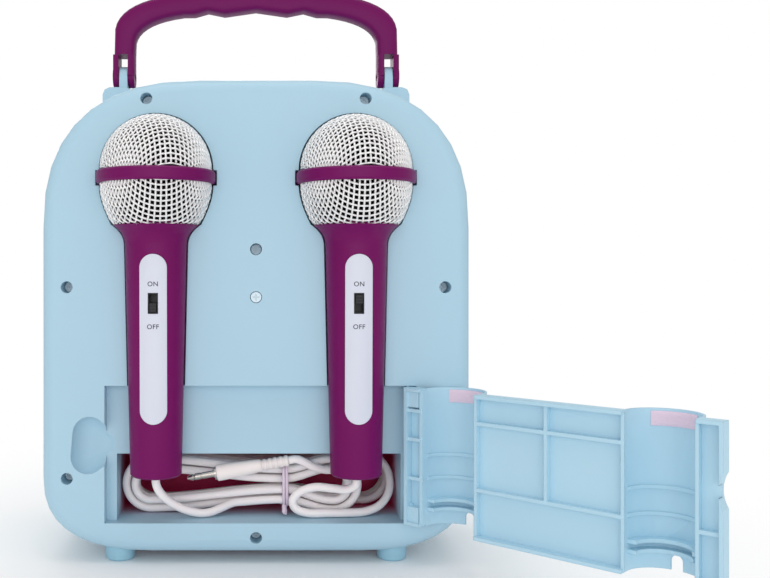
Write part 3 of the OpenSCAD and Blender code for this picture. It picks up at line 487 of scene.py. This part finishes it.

# Deep inside the cord pocket the back shell's colour blends to crimson with depth: painted shade, standing
# for the shadow and plum-coloured bounce light in the pocket.
pocket_mouth_y, pocket_deep_y = 46, 14
pocket_top_z, pocket_half_x = 55.6, 75
pocket_shaded_sky = moulded("sky_back_painted_pocket_shade", sky_deep, sky_light, 0.46)
back_at = pocket_shaded_sky.node("ShaderNodeSeparateXYZ", {}, {"Vector": pocket_shaded_sky.place()}).socket.node.outputs
sideways = pocket_shaded_sky.node("ShaderNodeMath", {"operation": "ABSOLUTE"}, {0: Signal(pocket_shaded_sky, back_at["X"])})
deep = pocket_shaded_sky.node("ShaderNodeMapRange", {"interpolation_type": "SMOOTHSTEP"}, {
    "Value": Signal(pocket_shaded_sky, back_at["Y"]),
    "From Min": pocket_mouth_y * mm, "From Max": pocket_deep_y * mm})
low_down = pocket_shaded_sky.node("ShaderNodeMapRange", {}, {
    "Value": Signal(pocket_shaded_sky, back_at["Z"]),
    "From Min": (pocket_top_z + 0.6) * mm, "From Max": pocket_top_z * mm})
between = pocket_shaded_sky.node("ShaderNodeMapRange", {}, {
    "Value": sideways, "From Min": (pocket_half_x + 0.5) * mm, "From Max": pocket_half_x * mm})
plain_sky = Signal(pocket_shaded_sky, pocket_shaded_sky.shader.inputs["Base Color"].links[0].from_socket)
# The blend paints the crimson shade over the plain sky colour, fuller the deeper and lower it lies in the
# pocket.
pocket_shaded_sky.feed(Base_Color=pocket_shaded_sky.blend(deep * low_down * between, plain_sky, linear(214, 34, 104)))
remade("rear_shell", pocket_shaded_sky)


# Feet and screws
# Four round feet are pressed into the bottom. Nine cross-head screws hold the shells
# together from deep wells in the back.
foot_plastic = moulded("foot_plastic", (150, 196, 216), (160, 202, 221), 0.55)
remade("feet", foot_plastic)
zinc = Finish("screw_zinc", Metallic=0.4)
zinc_grain = zinc.noise(900.0, 3.0)
zinc.feed(
    Base_Color=zinc.blend(zinc_grain, linear(196, 214, 224), linear(214, 228, 236)),
    Roughness=0.35 + zinc_grain * 0.15,
)
remade("case_screws", zinc)


# Carry handle
# One moulding in glossy plum, with finger dents under the grip. Its forked legs turn on
# steel pins through the lugs of the back shell.
plum = moulded("plum_gloss", (106, 8, 84), (117, 11, 91), 0.42, grain=700.0, depth=0.05, gloss=0.16)
remade("handle", plum, sharp=40.0)
remade("handle_pins", nickel)


# Storage door
# A thin ribbed moulding that swings on pins at the recess's edge. Two arches in it go
# round the microphone handles, and a strip of pink foam in each arch keeps them quiet.
door_angle = math.radians(135.6)
hinge = Vector((-77.45, 56.8, 0)) * mm
door_place = (Matrix.Translation(hinge) @ Matrix.Rotation(door_angle, 4, "Z") @ Matrix.Translation(-hinge))
# The door's blue is the shell's sky blue made lighter: painted light, making up for the lamp light that
# falls off towards the open door.
door_blue_painted_light = moulded("door_blue_painted_light", (180, 219, 237), (190, 224, 241), 0.44, edge=0.0005)
remade("storage_door", door_blue_painted_light)

foam = Finish("pink_foam", Specular_IOR_Level=0.15, Sheen_Weight=0.25)
foam_cells = foam.node("ShaderNodeTexVoronoi", {"feature": "F1"}, {"Vector": foam.place(), "Scale": 1300.0})
foam_cloud = foam.noise(120.0)
foam.feed(
    Base_Color=foam.blend(foam_cloud, linear(238, 216, 232), linear(230, 206, 224)),
    Roughness=0.85 + foam_cloud * 0.1,
    Normal=foam.node("ShaderNodeBump", {}, {"Strength": 0.5, "Distance": 0.0003, "Height": foam_cells}),
)
pad_w, pad_h, pad_top = 19.6, 6.4, 89.8
pad_r, pad_edge, pad_crown = 15.15, 0.35, 0.4
across, up = 20, 8
half_angle = math.asin(pad_w / 2 / pad_r)
for side, mic_side in (("far", "left"), ("near", "right")):
    mic_x = mic_places[mic_side]
    shape = bmesh.new()
    skins = []
    for inner in (0, 1):
        rows = []
        for j in range(up + 1):
            v = 2 * j / up - 1
            row = []
            for i in range(across + 1):
                w = 2 * i / across - 1
                crown = (1 - w ** 8) * (1 - v ** 6)
                r = pad_r - inner * (pad_edge + pad_crown * crown)
                x = mic_x + r * math.sin(half_angle * w)
                y = mic_axis_y + r * math.cos(half_angle * w)
                z = pad_top - pad_h / 2 + v * pad_h / 2
                row.append(shape.verts.new(door_place @ (Vector((x, y, z)) * mm)))
            rows.append(row)
        skins.append(rows)
    for rows, way in ((skins[0], 1), (skins[1], -1)):
        for j in range(up):
            for i in range(across):
                ring = [rows[j][i], rows[j][i + 1], rows[j + 1][i + 1], rows[j + 1][i]]
                shape.faces.new(ring[::way])
    border = ([(j, 0) for j in range(up + 1)] + [(up, i) for i in range(1, across + 1)]
              + [(j, across) for j in range(up - 1, -1, -1)] + [(0, i) for i in range(across - 1, 0, -1)])
    for (j, i), (k, n) in zip(border, border[1:] + border[:1]):
        shape.faces.new([skins[0][j][i], skins[0][k][n], skins[1][k][n], skins[1][j][i]])
    bmesh.ops.recalc_face_normals(shape, faces=shape.faces)
    mesh = bpy.data.meshes.new(f"{side}_pad")
    shape.to_mesh(mesh)
    shape.free()
    mesh.shade_smooth()
    mesh.set_sharp_from_angle(angle=math.radians(50))
    pad = link(f"{side}_pad", mesh)
    dress(pad, foam)
    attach(pad, "storage_door")
    if side == "far":
        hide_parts("door_pads")


# Microphone bodies
# A long tapered handle in glossy plum that flares to the collar of the basket, and a plum
# ring clipped round the ball.
plum_mic = moulded("plum_mic", (110, 6, 88), (122, 9, 96), 0.4, grain=600.0, depth=0.04, gloss=0.16)
for side in ("left", "right"):
    remade(f"mic_{side}_body", plum_mic, sharp=40.0)
    remade(f"mic_{side}_ring", plum_mic, sharp=40.0)


# Microphone grilles
# Bright square-woven steel wire, pressed over a ball above the ring and into a basket
# below it. The square net shears towards the diagonals, as flat wire cloth does when it
# is drawn over a ball. A dark foam liner fills the inside.
collar_h, collar_r = 127.4, 22.4
ring_h, ball_h, ball_r = 151.6, 155.5, 28.6
wire_pitch = 2.6
wire_r = 0.52
wire_sides = 6
net_reach = 17
hem_tuck, hem_rise, hem_reach, hem_drop = 1.1, 0.2, 3.6, 0.8
liner_gap = 2.4


def drawn_net(step):
    """Points of an equal-sided net on a unit ball, spread from its top along two arcs."""
    net = {}
    for k in range(-net_reach, net_reach + 1):
        net[k, 0] = Vector((math.sin(k * step), 0, math.cos(k * step)))
        net[0, k] = Vector((0, math.sin(k * step), math.cos(k * step)))
    for ways in ((1, 1), (1, -1), (-1, 1), (-1, -1)):
        for i in range(1, net_reach + 1):
            for j in range(1, net_reach + 1):
                a = net.get(((i - 1) * ways[0], j * ways[1]))
                b = net.get((i * ways[0], (j - 1) * ways[1]))
                c = net.get(((i - 1) * ways[0], (j - 1) * ways[1]))
                if a is None or b is None or c is None:
                    continue
                n = a.cross(b)
                if n.length < step * 0.22:
                    continue
                n.normalize()
                net[i * ways[0], j * ways[1]] = c - 2 * c.dot(n) * n
    return net


def dome_place(unit, lift):
    """A place on the ball above the ring, for a direction from the ball's middle."""
    if unit.z * ball_r < ring_h - ball_h - 1.5:
        return None
    return Vector((0, 0, ball_h)) + unit * (ball_r - wire_r * 1.6 + lift)


# The basket's outline from the ring down to the collar, with its hem tucked in at the end.
basket_steps = 40
basket_line = [(collar_r - hem_reach, collar_h - hem_drop)]
for k in range(basket_steps + 1):
    swell = (ball_r - collar_r) * math.sin(math.pi / 2 * k / basket_steps)
    basket_line.append((collar_r + swell - max(0, hem_tuck - hem_rise * k),
                        collar_h + (ring_h - 4 - collar_h) * k / basket_steps))
basket_line.append((ball_r, ring_h))
basket_line.reverse()


def basket_place(unit, lift):
    """A place on the basket under the ring, for a direction with its pole at the bottom."""
    travel = (math.pi / 2 - math.acos(max(-1, min(1, unit.z)))) * ball_r
    if travel < 0:
        return None
    for (r0, z0), (r1, z1) in zip(basket_line, basket_line[1:]):
        piece = math.hypot(r1 - r0, z1 - z0)
        if travel <= piece:
            t = travel / piece
            r = r0 + (r1 - r0) * t - wire_r * 1.6 + lift
            flat = math.hypot(unit.x, unit.y)
            return Vector((unit.x / flat * r, unit.y / flat * r, z0 + (z1 - z0) * t))
        travel -= piece
    return None


def wire_runs(net, place, turn):
    """The wires of a net as lines, each passing over and under those that cross it."""
    spin = Matrix.Rotation(math.radians(turn), 3, "Z")
    runs = []
    for family, i in [(f, i) for f in (0, 1) for i in range(-net_reach, net_reach + 1)]:
        run = []
        for j in range(-net_reach, net_reach):
            a, b = [net.get((i, k) if family else (k, i)) for k in (j, j + 1)]
            side = 1 if (i + j + family) % 2 else -1
            for k in range(4):
                here = None
                if a is not None and b is not None:
                    lift = wire_r * 0.62 * side * math.cos(math.pi * k / 4)
                    here = place(spin @ a.lerp(b, k / 4).normalized(), lift)
                if here is not None:
                    run.append(here)
                elif run:
                    runs.append(run)
                    run = []
        runs.append(run)
    return [r for r in runs if len(r) > 4]


steel_wire = Finish("grille_steel", Metallic=0.45)
wire_tone = steel_wire.noise(180.0, 2.0)
steel_wire.feed(
    Base_Color=steel_wire.blend(wire_tone, linear(255, 254, 252), linear(240, 238, 240)),
    Roughness=0.26 + wire_tone * 0.14,
)
liner_foam = Finish("liner_foam", Specular_IOR_Level=0.1, Roughness=0.95)
liner_cells = liner_foam.noise(900.0, 2.0)
liner_foam.feed(
    Base_Color=liner_foam.blend(liner_cells, linear(10, 9, 11), linear(22, 20, 23)),
    Normal=liner_foam.node("ShaderNodeBump", {}, {
        "Strength": 0.6, "Distance": 0.0004, "Height": liner_cells}),
)

wire_tree = bpy.data.node_groups.new("wire_cloth", "GeometryNodeTree")
wire_tree.interface.new_socket("Lines", in_out="INPUT", socket_type="NodeSocketGeometry")
wire_tree.interface.new_socket("Wire radius", in_out="INPUT", socket_type="NodeSocketFloat")
wire_tree.interface.new_socket("Wire sides", in_out="INPUT", socket_type="NodeSocketInt")
wire_tree.interface.new_socket("Finish", in_out="INPUT", socket_type="NodeSocketMaterial")
wire_tree.interface.new_socket("Cloth", in_out="OUTPUT", socket_type="NodeSocketGeometry")


def join_tree(tree, steps):
    """Adds nodes to a Geometry Nodes tree: name, type, and what each input takes."""
    made = {"in": tree.nodes.new("NodeGroupInput"), "out": tree.nodes.new("NodeGroupOutput")}
    for name, kind, inputs in steps:
        node = made.get(name) or tree.nodes.new(kind)
        made[name] = node
        for key, value in inputs.items():
            if isinstance(value, tuple) and value[0] in made:
                tree.links.new(made[value[0]].outputs[value[1]], node.inputs[key])
            else:
                node.inputs[key].default_value = value
    return made


join_tree(wire_tree, (
    ("curve", "GeometryNodeMeshToCurve", {"Mesh": ("in", "Lines")}),
    ("round", "GeometryNodeCurvePrimitiveCircle", {
        "Resolution": ("in", "Wire sides"), "Radius": ("in", "Wire radius")}),
    ("tube", "GeometryNodeCurveToMesh", {
        "Curve": ("curve", 0), "Profile Curve": ("round", 0), "Fill Caps": True}),
    ("soft", "GeometryNodeSetShadeSmooth", {"Geometry": ("tube", 0)}),
    ("real", "GeometryNodeRealizeInstances", {"Geometry": ("soft", 0)}),
    ("coat", "GeometryNodeSetMaterial", {"Geometry": ("real", 0), "Material": ("in", "Finish")}),
    ("out", "", {"Cloth": ("coat", 0)}),
))


def set_inputs(modifier, values):
    """Sets the named inputs of a Geometry Nodes modifier by their sockets' identifiers."""
    for item in modifier.node_group.interface.items_tree:
        if item.name in values and item.in_out == "INPUT":
            modifier[item.identifier] = values[item.name]


def wired(name, runs, place):
    """Wire cloth along the runs, as one plain mesh."""
    verts, edges = [], []
    for run in runs:
        edges += [(len(verts) + k, len(verts) + k + 1) for k in range(len(run) - 1)]
        verts += [place(p) * mm for p in run]
    lines = bpy.data.meshes.new(name)
    lines.from_pydata([tuple(v) for v in verts], edges, [])
    cloth = link(name, lines)
    modifier = cloth.modifiers.new("cloth", "NODES")
    modifier.node_group = wire_tree
    set_inputs(modifier, {
        "Wire radius": wire_r * mm, "Wire sides": wire_sides, "Finish": steel_wire.material})
    mesh = settled(cloth)
    cloth.modifiers.clear()
    cloth.data = mesh
    mesh.name = name
    return cloth


def revolved(name, profile, centre, finish, sides=72):
    """A closed form turned from a profile of radius and height, about an upright line."""
    shape = bmesh.new()
    rings = []
    for r, z in profile:
        if r < 1e-6:
            rings.append([shape.verts.new((Vector(centre) + Vector((0, 0, z))) * mm)])
        else:
            rings.append([shape.verts.new((Vector(centre) + Vector((
                r * math.cos(2 * math.pi * k / sides), r * math.sin(2 * math.pi * k / sides), z))) * mm)
                for k in range(sides)])
    for a, b in zip(rings, rings[1:]):
        for k in range(sides):
            n = (k + 1) % sides
            ring = [a[k % len(a)], a[n % len(a)], b[n % len(b)], b[k % len(b)]]
            shape.faces.new(list(dict.fromkeys(ring)))
    bmesh.ops.recalc_face_normals(shape, faces=shape.faces)
    mesh = bpy.data.meshes.new(name)
    shape.to_mesh(mesh)
    shape.free()
    mesh.shade_smooth()
    mesh.set_sharp_from_angle(angle=math.radians(40))
    return dress(link(name, mesh), finish)


net = drawn_net(wire_pitch / ball_r)
for side, top_turn, low_turn in (("left", 21, 11), ("right", 9, 3)):
    foot = Vector((mic_places[side], mic_axis_y, mic_low_z))

    def on_mic(p):
        return foot + p

    dome = wire_runs(net, dome_place, top_turn)
    basket = wire_runs(net, basket_place, low_turn)
    for name, runs in (("dome", dome), ("basket", basket)):
        cloth = wired(f"{side}_{name}_wire", runs, on_mic)
        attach(cloth, f"mic_{side}")
        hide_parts(f"mic_{side}_grille")
    liner_r = ball_r - liner_gap
    inside = [(0, collar_h + 1)]
    inside += [(r - liner_gap, z) for r, z in reversed(basket_line) if z > collar_h + 1]
    inside += [(liner_r * math.cos(math.radians(d)), ball_h + liner_r * math.sin(math.radians(d)))
               for d in range(0, 90, 6)]
    inside.append((0, ball_h + liner_r))
    liner = revolved(f"{side}_liner", inside, foot, liner_foam)
    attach(liner, f"mic_{side}")


# Inlays and switches
# A pale plate with round ends is let into each handle. It is printed ON above and OFF below
# a small black slide switch with three ridges.
pale = moulded("inlay_pale", (214, 218, 233), (223, 224, 236), 0.38, edge=0.0003, gloss=0.5)
print_ink = Finish("print_ink", Base_Color=linear(22, 24, 40), Roughness=0.4)
ink_grain = print_ink.noise(2200.0)
print_ink.feed(Roughness=0.35 + ink_grain * 0.2)
switch_black = moulded("switch_black", (16, 18, 22), (24, 26, 31), 0.4, edge=0.0002)
neck_h, grip_r = 116, 13.1
waist_r = grip_r + 2.6
print_size, print_lift = 3.3, 0.02


def inlay_front(z):
    """Radius of the inlay's face at a height above the microphone's lower end."""
    return grip_r + 0.25 + (waist_r - grip_r) * z / neck_h


def print_word(side, word, height):
    """A printed word on the curved inlay."""
    data = bpy.data.curves.new(word, "FONT")
    data.body = word
    data.size = print_size * mm
    data.space_character = 1.08
    data.align_x = "CENTER"
    data.align_y = "CENTER"
    data.extrude = 0.03 * mm
    data.offset = 0.02 * mm
    text = bpy.data.objects.new(word, data)
    bpy.context.scene.collection.objects.link(text)
    mesh = settled(text)
    bpy.data.objects.remove(text)
    for vertex in mesh.vertices:
        x, z, lift = vertex.co.x, height * mm + vertex.co.y, vertex.co.z
        r = inlay_front(z / mm) * mm
        y = math.sqrt(r * r - x * x) + lift + print_lift * mm
        vertex.co = (mic_places[side] * mm - x, mic_axis_y * mm + y, mic_low_z * mm + z)
    piece = link(f"{side}_word_{word.lower()}", mesh)
    dress(piece, print_ink)
    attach(piece, f"mic_{side}")


for side in mic_places:
    remade(f"mic_{side}_inlay", pale, sharp=40.0)
    remade(f"mic_{side}_switch_case", switch_black)
    remade(f"mic_{side}_switch", switch_black)
    print_word(side, "ON", 97.6)
    print_word(side, "OFF", 76.4)


# Speaker
# A pale drilled grille closes the speaker's opening. Behind it sit a rubber surround, a
# pressed paper cone, a steel frame and the magnet.
grille_plastic = moulded("grille_plastic", (204, 208, 224), (214, 216, 229), 0.42)
remade("speaker_grille", grille_plastic)
dark = moulded("dark_plastic", (20, 21, 24), (30, 31, 35), 0.5)
remade("speaker_frame", dark)
remade("speaker_magnet", nickel)
rubber = Finish("surround_rubber", Specular_IOR_Level=0.25)
rubber_grain = rubber.noise(800.0)
rubber.feed(
    Base_Color=rubber.blend(rubber_grain, linear(16, 16, 17), linear(30, 30, 31)),
    Roughness=0.65 + rubber_grain * 0.15,
)
remade("speaker_surround", rubber)
paper = Finish("cone_paper", Specular_IOR_Level=0.2)
paper_fibre = paper.noise(500.0, 4.0)
paper.feed(
    Base_Color=paper.blend(paper_fibre, linear(52, 52, 55), linear(84, 83, 86)),
    Roughness=0.8 + paper_fibre * 0.1,
    Normal=paper.node("ShaderNodeBump", {}, {"Strength": 0.4, "Distance": 0.0002, "Height": paper_fibre}),
)
remade("speaker_cone", paper)


# Disc well and drive
# A round lid with a clear window opens on a pin at its lower edge. In the well under it
# are the turntable, and a laser sled that a lead screw moves along two steel rods.
remade("disc_lid", sky)
clear = Finish("lid_clear", Roughness=0.08, Transmission_Weight=0.9, IOR=1.46)
clear_dust = clear.noise(40.0)
clear.feed(Base_Color=clear.blend(clear_dust, linear(206, 226, 238), linear(222, 236, 244)))
remade("lid_window", clear)
remade("lid_pin", nickel)
remade("disc_tray", grille_plastic)
for node in ("turntable", "drive_base", "laser_sled"):
    remade(node, dark)
for node in ("spindle_motor", "sled_rods", "lead_screw", "sled_motor"):
    remade(node, nickel)


# Boards and controls
# Four push buttons, two knobs, a display and a sliding power switch sit beside the
# speaker, on a small lacquered board; the main board is behind the disc drive.
lacquer = Finish("board_lacquer", Specular_IOR_Level=0.5)
lacquer_weave = lacquer.noise(600.0, 2.0)
lacquer.feed(
    Base_Color=lacquer.blend(lacquer_weave, linear(20, 92, 52), linear(34, 118, 70)),
    Roughness=0.25 + lacquer_weave * 0.2,
)
for node in ("main_board", "control_board"):
    remade(node, lacquer)
white_ink = Finish("white_ink", Base_Color=linear(238, 236, 242))
white_grain = white_ink.noise(1800.0)
white_ink.feed(Roughness=0.4 + white_grain * 0.15)


ink_thick = 0.1


def printed(name, shapes, y, body, ink):
    """Flat prints that face the front, from outlines of x and z, half sunk in the surface."""
    shape = bmesh.new()
    for outline in shapes:
        area = sum(a[0] * b[1] - b[0] * a[1] for a, b in zip(outline, outline[1:] + outline[:1]))
        outline = outline if area > 0 else outline[::-1]
        front = [shape.verts.new((x * mm, (y - ink_thick / 2) * mm, z * mm)) for x, z in outline]
        back = [shape.verts.new((x * mm, (y + ink_thick / 2) * mm, z * mm)) for x, z in outline]
        shape.faces.new(front)
        shape.faces.new(back[::-1])
        for k in range(len(front)):
            n = (k + 1) % len(front)
            shape.faces.new([front[n], front[k], back[k], back[n]])
    mesh = bpy.data.meshes.new(name)
    shape.to_mesh(mesh)
    shape.free()
    piece = dress(link(name, mesh), ink)
    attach(piece, body)
    return piece


def arrow(x, z, way, size=1.5):
    """A triangle that points along x, or against it where way is -1."""
    return [(x - way * size * 0.8, z - size), (x + way * size, z), (x - way * size * 0.8, z + size)]


def bar(x, z, half_wide, half_tall):
    """An upright bar or square."""
    return [(x - half_wide, z - half_tall), (x + half_wide, z - half_tall),
            (x + half_wide, z + half_tall), (x - half_wide, z + half_tall)]


symbols = {
    "play_button": lambda x, z: [arrow(x, z, 1, 2.1)],
    "stop_button": lambda x, z: [bar(x, z, 1.7, 1.7)],
    "back_button": lambda x, z: [arrow(x + 1.3, z, -1), arrow(x - 1.3, z, -1), bar(x - 3, z, 0.2, 1.5)],
    "next_button": lambda x, z: [arrow(x - 1.3, z, 1), arrow(x + 1.3, z, 1), bar(x + 3, z, 0.2, 1.5)],
}
for node, draw in symbols.items():
    remade(node, plum)
    button_low, button_high = [Vector(v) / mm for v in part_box(node)]
    middle = (button_low + button_high) / 2
    printed(node + "_sign", draw(middle.x, middle.z), button_low.y, node, white_ink)

case_front_y = -58
knob_turn = 150
tick_count = 11
tick_start_r, tick_end_r = 11.6, 12.6
for node in ("volume_knob", "echo_knob"):
    remade(node, plum)
    knob_low, knob_high = [Vector(v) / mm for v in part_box(node)]
    middle = (knob_low + knob_high) / 2
    printed(node + "_line", [bar(middle.x, middle.z + 5.5, 0.45, 2.5)], knob_low.y, node, white_ink)
    ticks = []
    for step in range(tick_count):
        a = math.radians(-knob_turn + 2 * knob_turn * step / (tick_count - 1))
        r0, r1, half = tick_start_r, tick_end_r + 0.12 * step, 0.018 + 0.003 * step
        ticks.append([(middle.x + r * math.sin(a + h), middle.z + r * math.cos(a + h))
                      for r, h in ((r0, -half), (r0, half), (r1, half), (r1, -half))])
    printed(node + "_ticks", ticks, case_front_y, "case", plum)
remade("power_slider", plum)
remade("potentiometers", nickel)
lens = Finish("display_lens", Coat_Weight=0.4, Specular_IOR_Level=0.6)
lens_haze = lens.noise(30.0)
lens.feed(
    Base_Color=lens.blend(lens_haze, linear(26, 10, 18), linear(40, 14, 26)),
    Roughness=0.08 + lens_haze * 0.06,
)
remade("display_window", lens)
remade("power_switch", dark)


# Sockets
# Two microphone jacks, a line jack and a power socket come out of the side of the case.
for node in ("mic_sockets", "av_socket", "power_socket"):
    remade(node, dark)


# Floor and light
# A pale floor that keeps the shadow and fades into a white room, one broad lamp at each side of
# the camera, one on the machine's front, one above, and soft light from all round.
fade_from, fade_to = 60, 360
floor_half = 6000
floor_finish = Finish("pale_floor", Roughness=0.8, Specular_IOR_Level=0.1)
floor_finish.shader.inputs["Base Color"].default_value = (0.98, 0.98, 0.98, 1)
seen = [floor_finish.node("ShaderNodeLightPath", {}, {}, key)
        for key in ("Is Camera Ray", "Is Transmission Ray")]
away = floor_finish.node(
    "ShaderNodeVectorMath", {"operation": "LENGTH"}, {0: floor_finish.place()}, "Value")
fade = floor_finish.node("ShaderNodeMapRange", {"interpolation_type": "SMOOTHSTEP"}, {
    "Value": away, "From Min": fade_from * mm, "From Max": fade_to * mm})
white = floor_finish.node("ShaderNodeEmission", {}, {"Color": (1, 1, 1, 1), "Strength": 1})
floor_shader = Signal(floor_finish, floor_finish.shader.outputs[0])
floor_mix = floor_finish.node("ShaderNodeMixShader", {}, {
    0: fade * white.maths("MAXIMUM", *seen), 1: floor_shader, 2: white})
floor_out = floor_finish.tree.nodes["Material Output"].inputs["Surface"]
floor_finish.tree.links.new(floor_mix.socket, floor_out)
floor_mesh = bpy.data.meshes.new("floor")
corners = [(x * floor_half * mm, y * floor_half * mm, 0) for x, y in ((-1, -1), (1, -1), (1, 1), (-1, 1))]
floor_mesh.from_pydata(corners, [], [(0, 1, 2, 3)])
floor = dress(link("floor", floor_mesh), floor_finish)

world = bpy.data.worlds.new("room")
bpy.context.scene.world = world
world.use_nodes = True
room = world.node_tree
room_path = room.nodes.new("ShaderNodeLightPath")
room_seen = room.nodes.new("ShaderNodeMath")
room_seen.operation = "MAXIMUM"
room_level = room.nodes.new("ShaderNodeMapRange")
room_level.inputs["To Min"].default_value = 0.6
room_level.inputs["To Max"].default_value = 1.0
room.links.new(room_path.outputs["Is Camera Ray"], room_seen.inputs[0])
room.links.new(room_path.outputs["Is Transmission Ray"], room_seen.inputs[1])
room.links.new(room_seen.outputs[0], room_level.inputs["Value"])
room.links.new(room_level.outputs["Result"], room.nodes["Background"].inputs["Strength"])
room.nodes["Background"].inputs["Color"].default_value = (1, 1, 1, 1)


lit_middle = Vector((0, 0, 0.14))


def lamp(name, at, power, size):
    """A broad soft lamp aimed at the middle of the case."""
    data = bpy.data.lights.new(name, "AREA")
    data.energy = power
    data.size = size
    light = bpy.data.objects.new(name, data)
    bpy.context.scene.collection.objects.link(light)
    light.location = at
    light.rotation_euler = (lit_middle - Vector(at)).to_track_quat("-Z", "Y").to_euler()


lamp("key", (0.4, 1.5, 0.25), 4.6, 1.1)
lamp("fill", (-0.5, 1.5, 0.2), 4.2, 1.1)
lamp("front", (0.3, -1.5, 0.9), 7.0, 1.0)
lamp("top", (0, 0.2, 1.7), 7.0, 1.2)
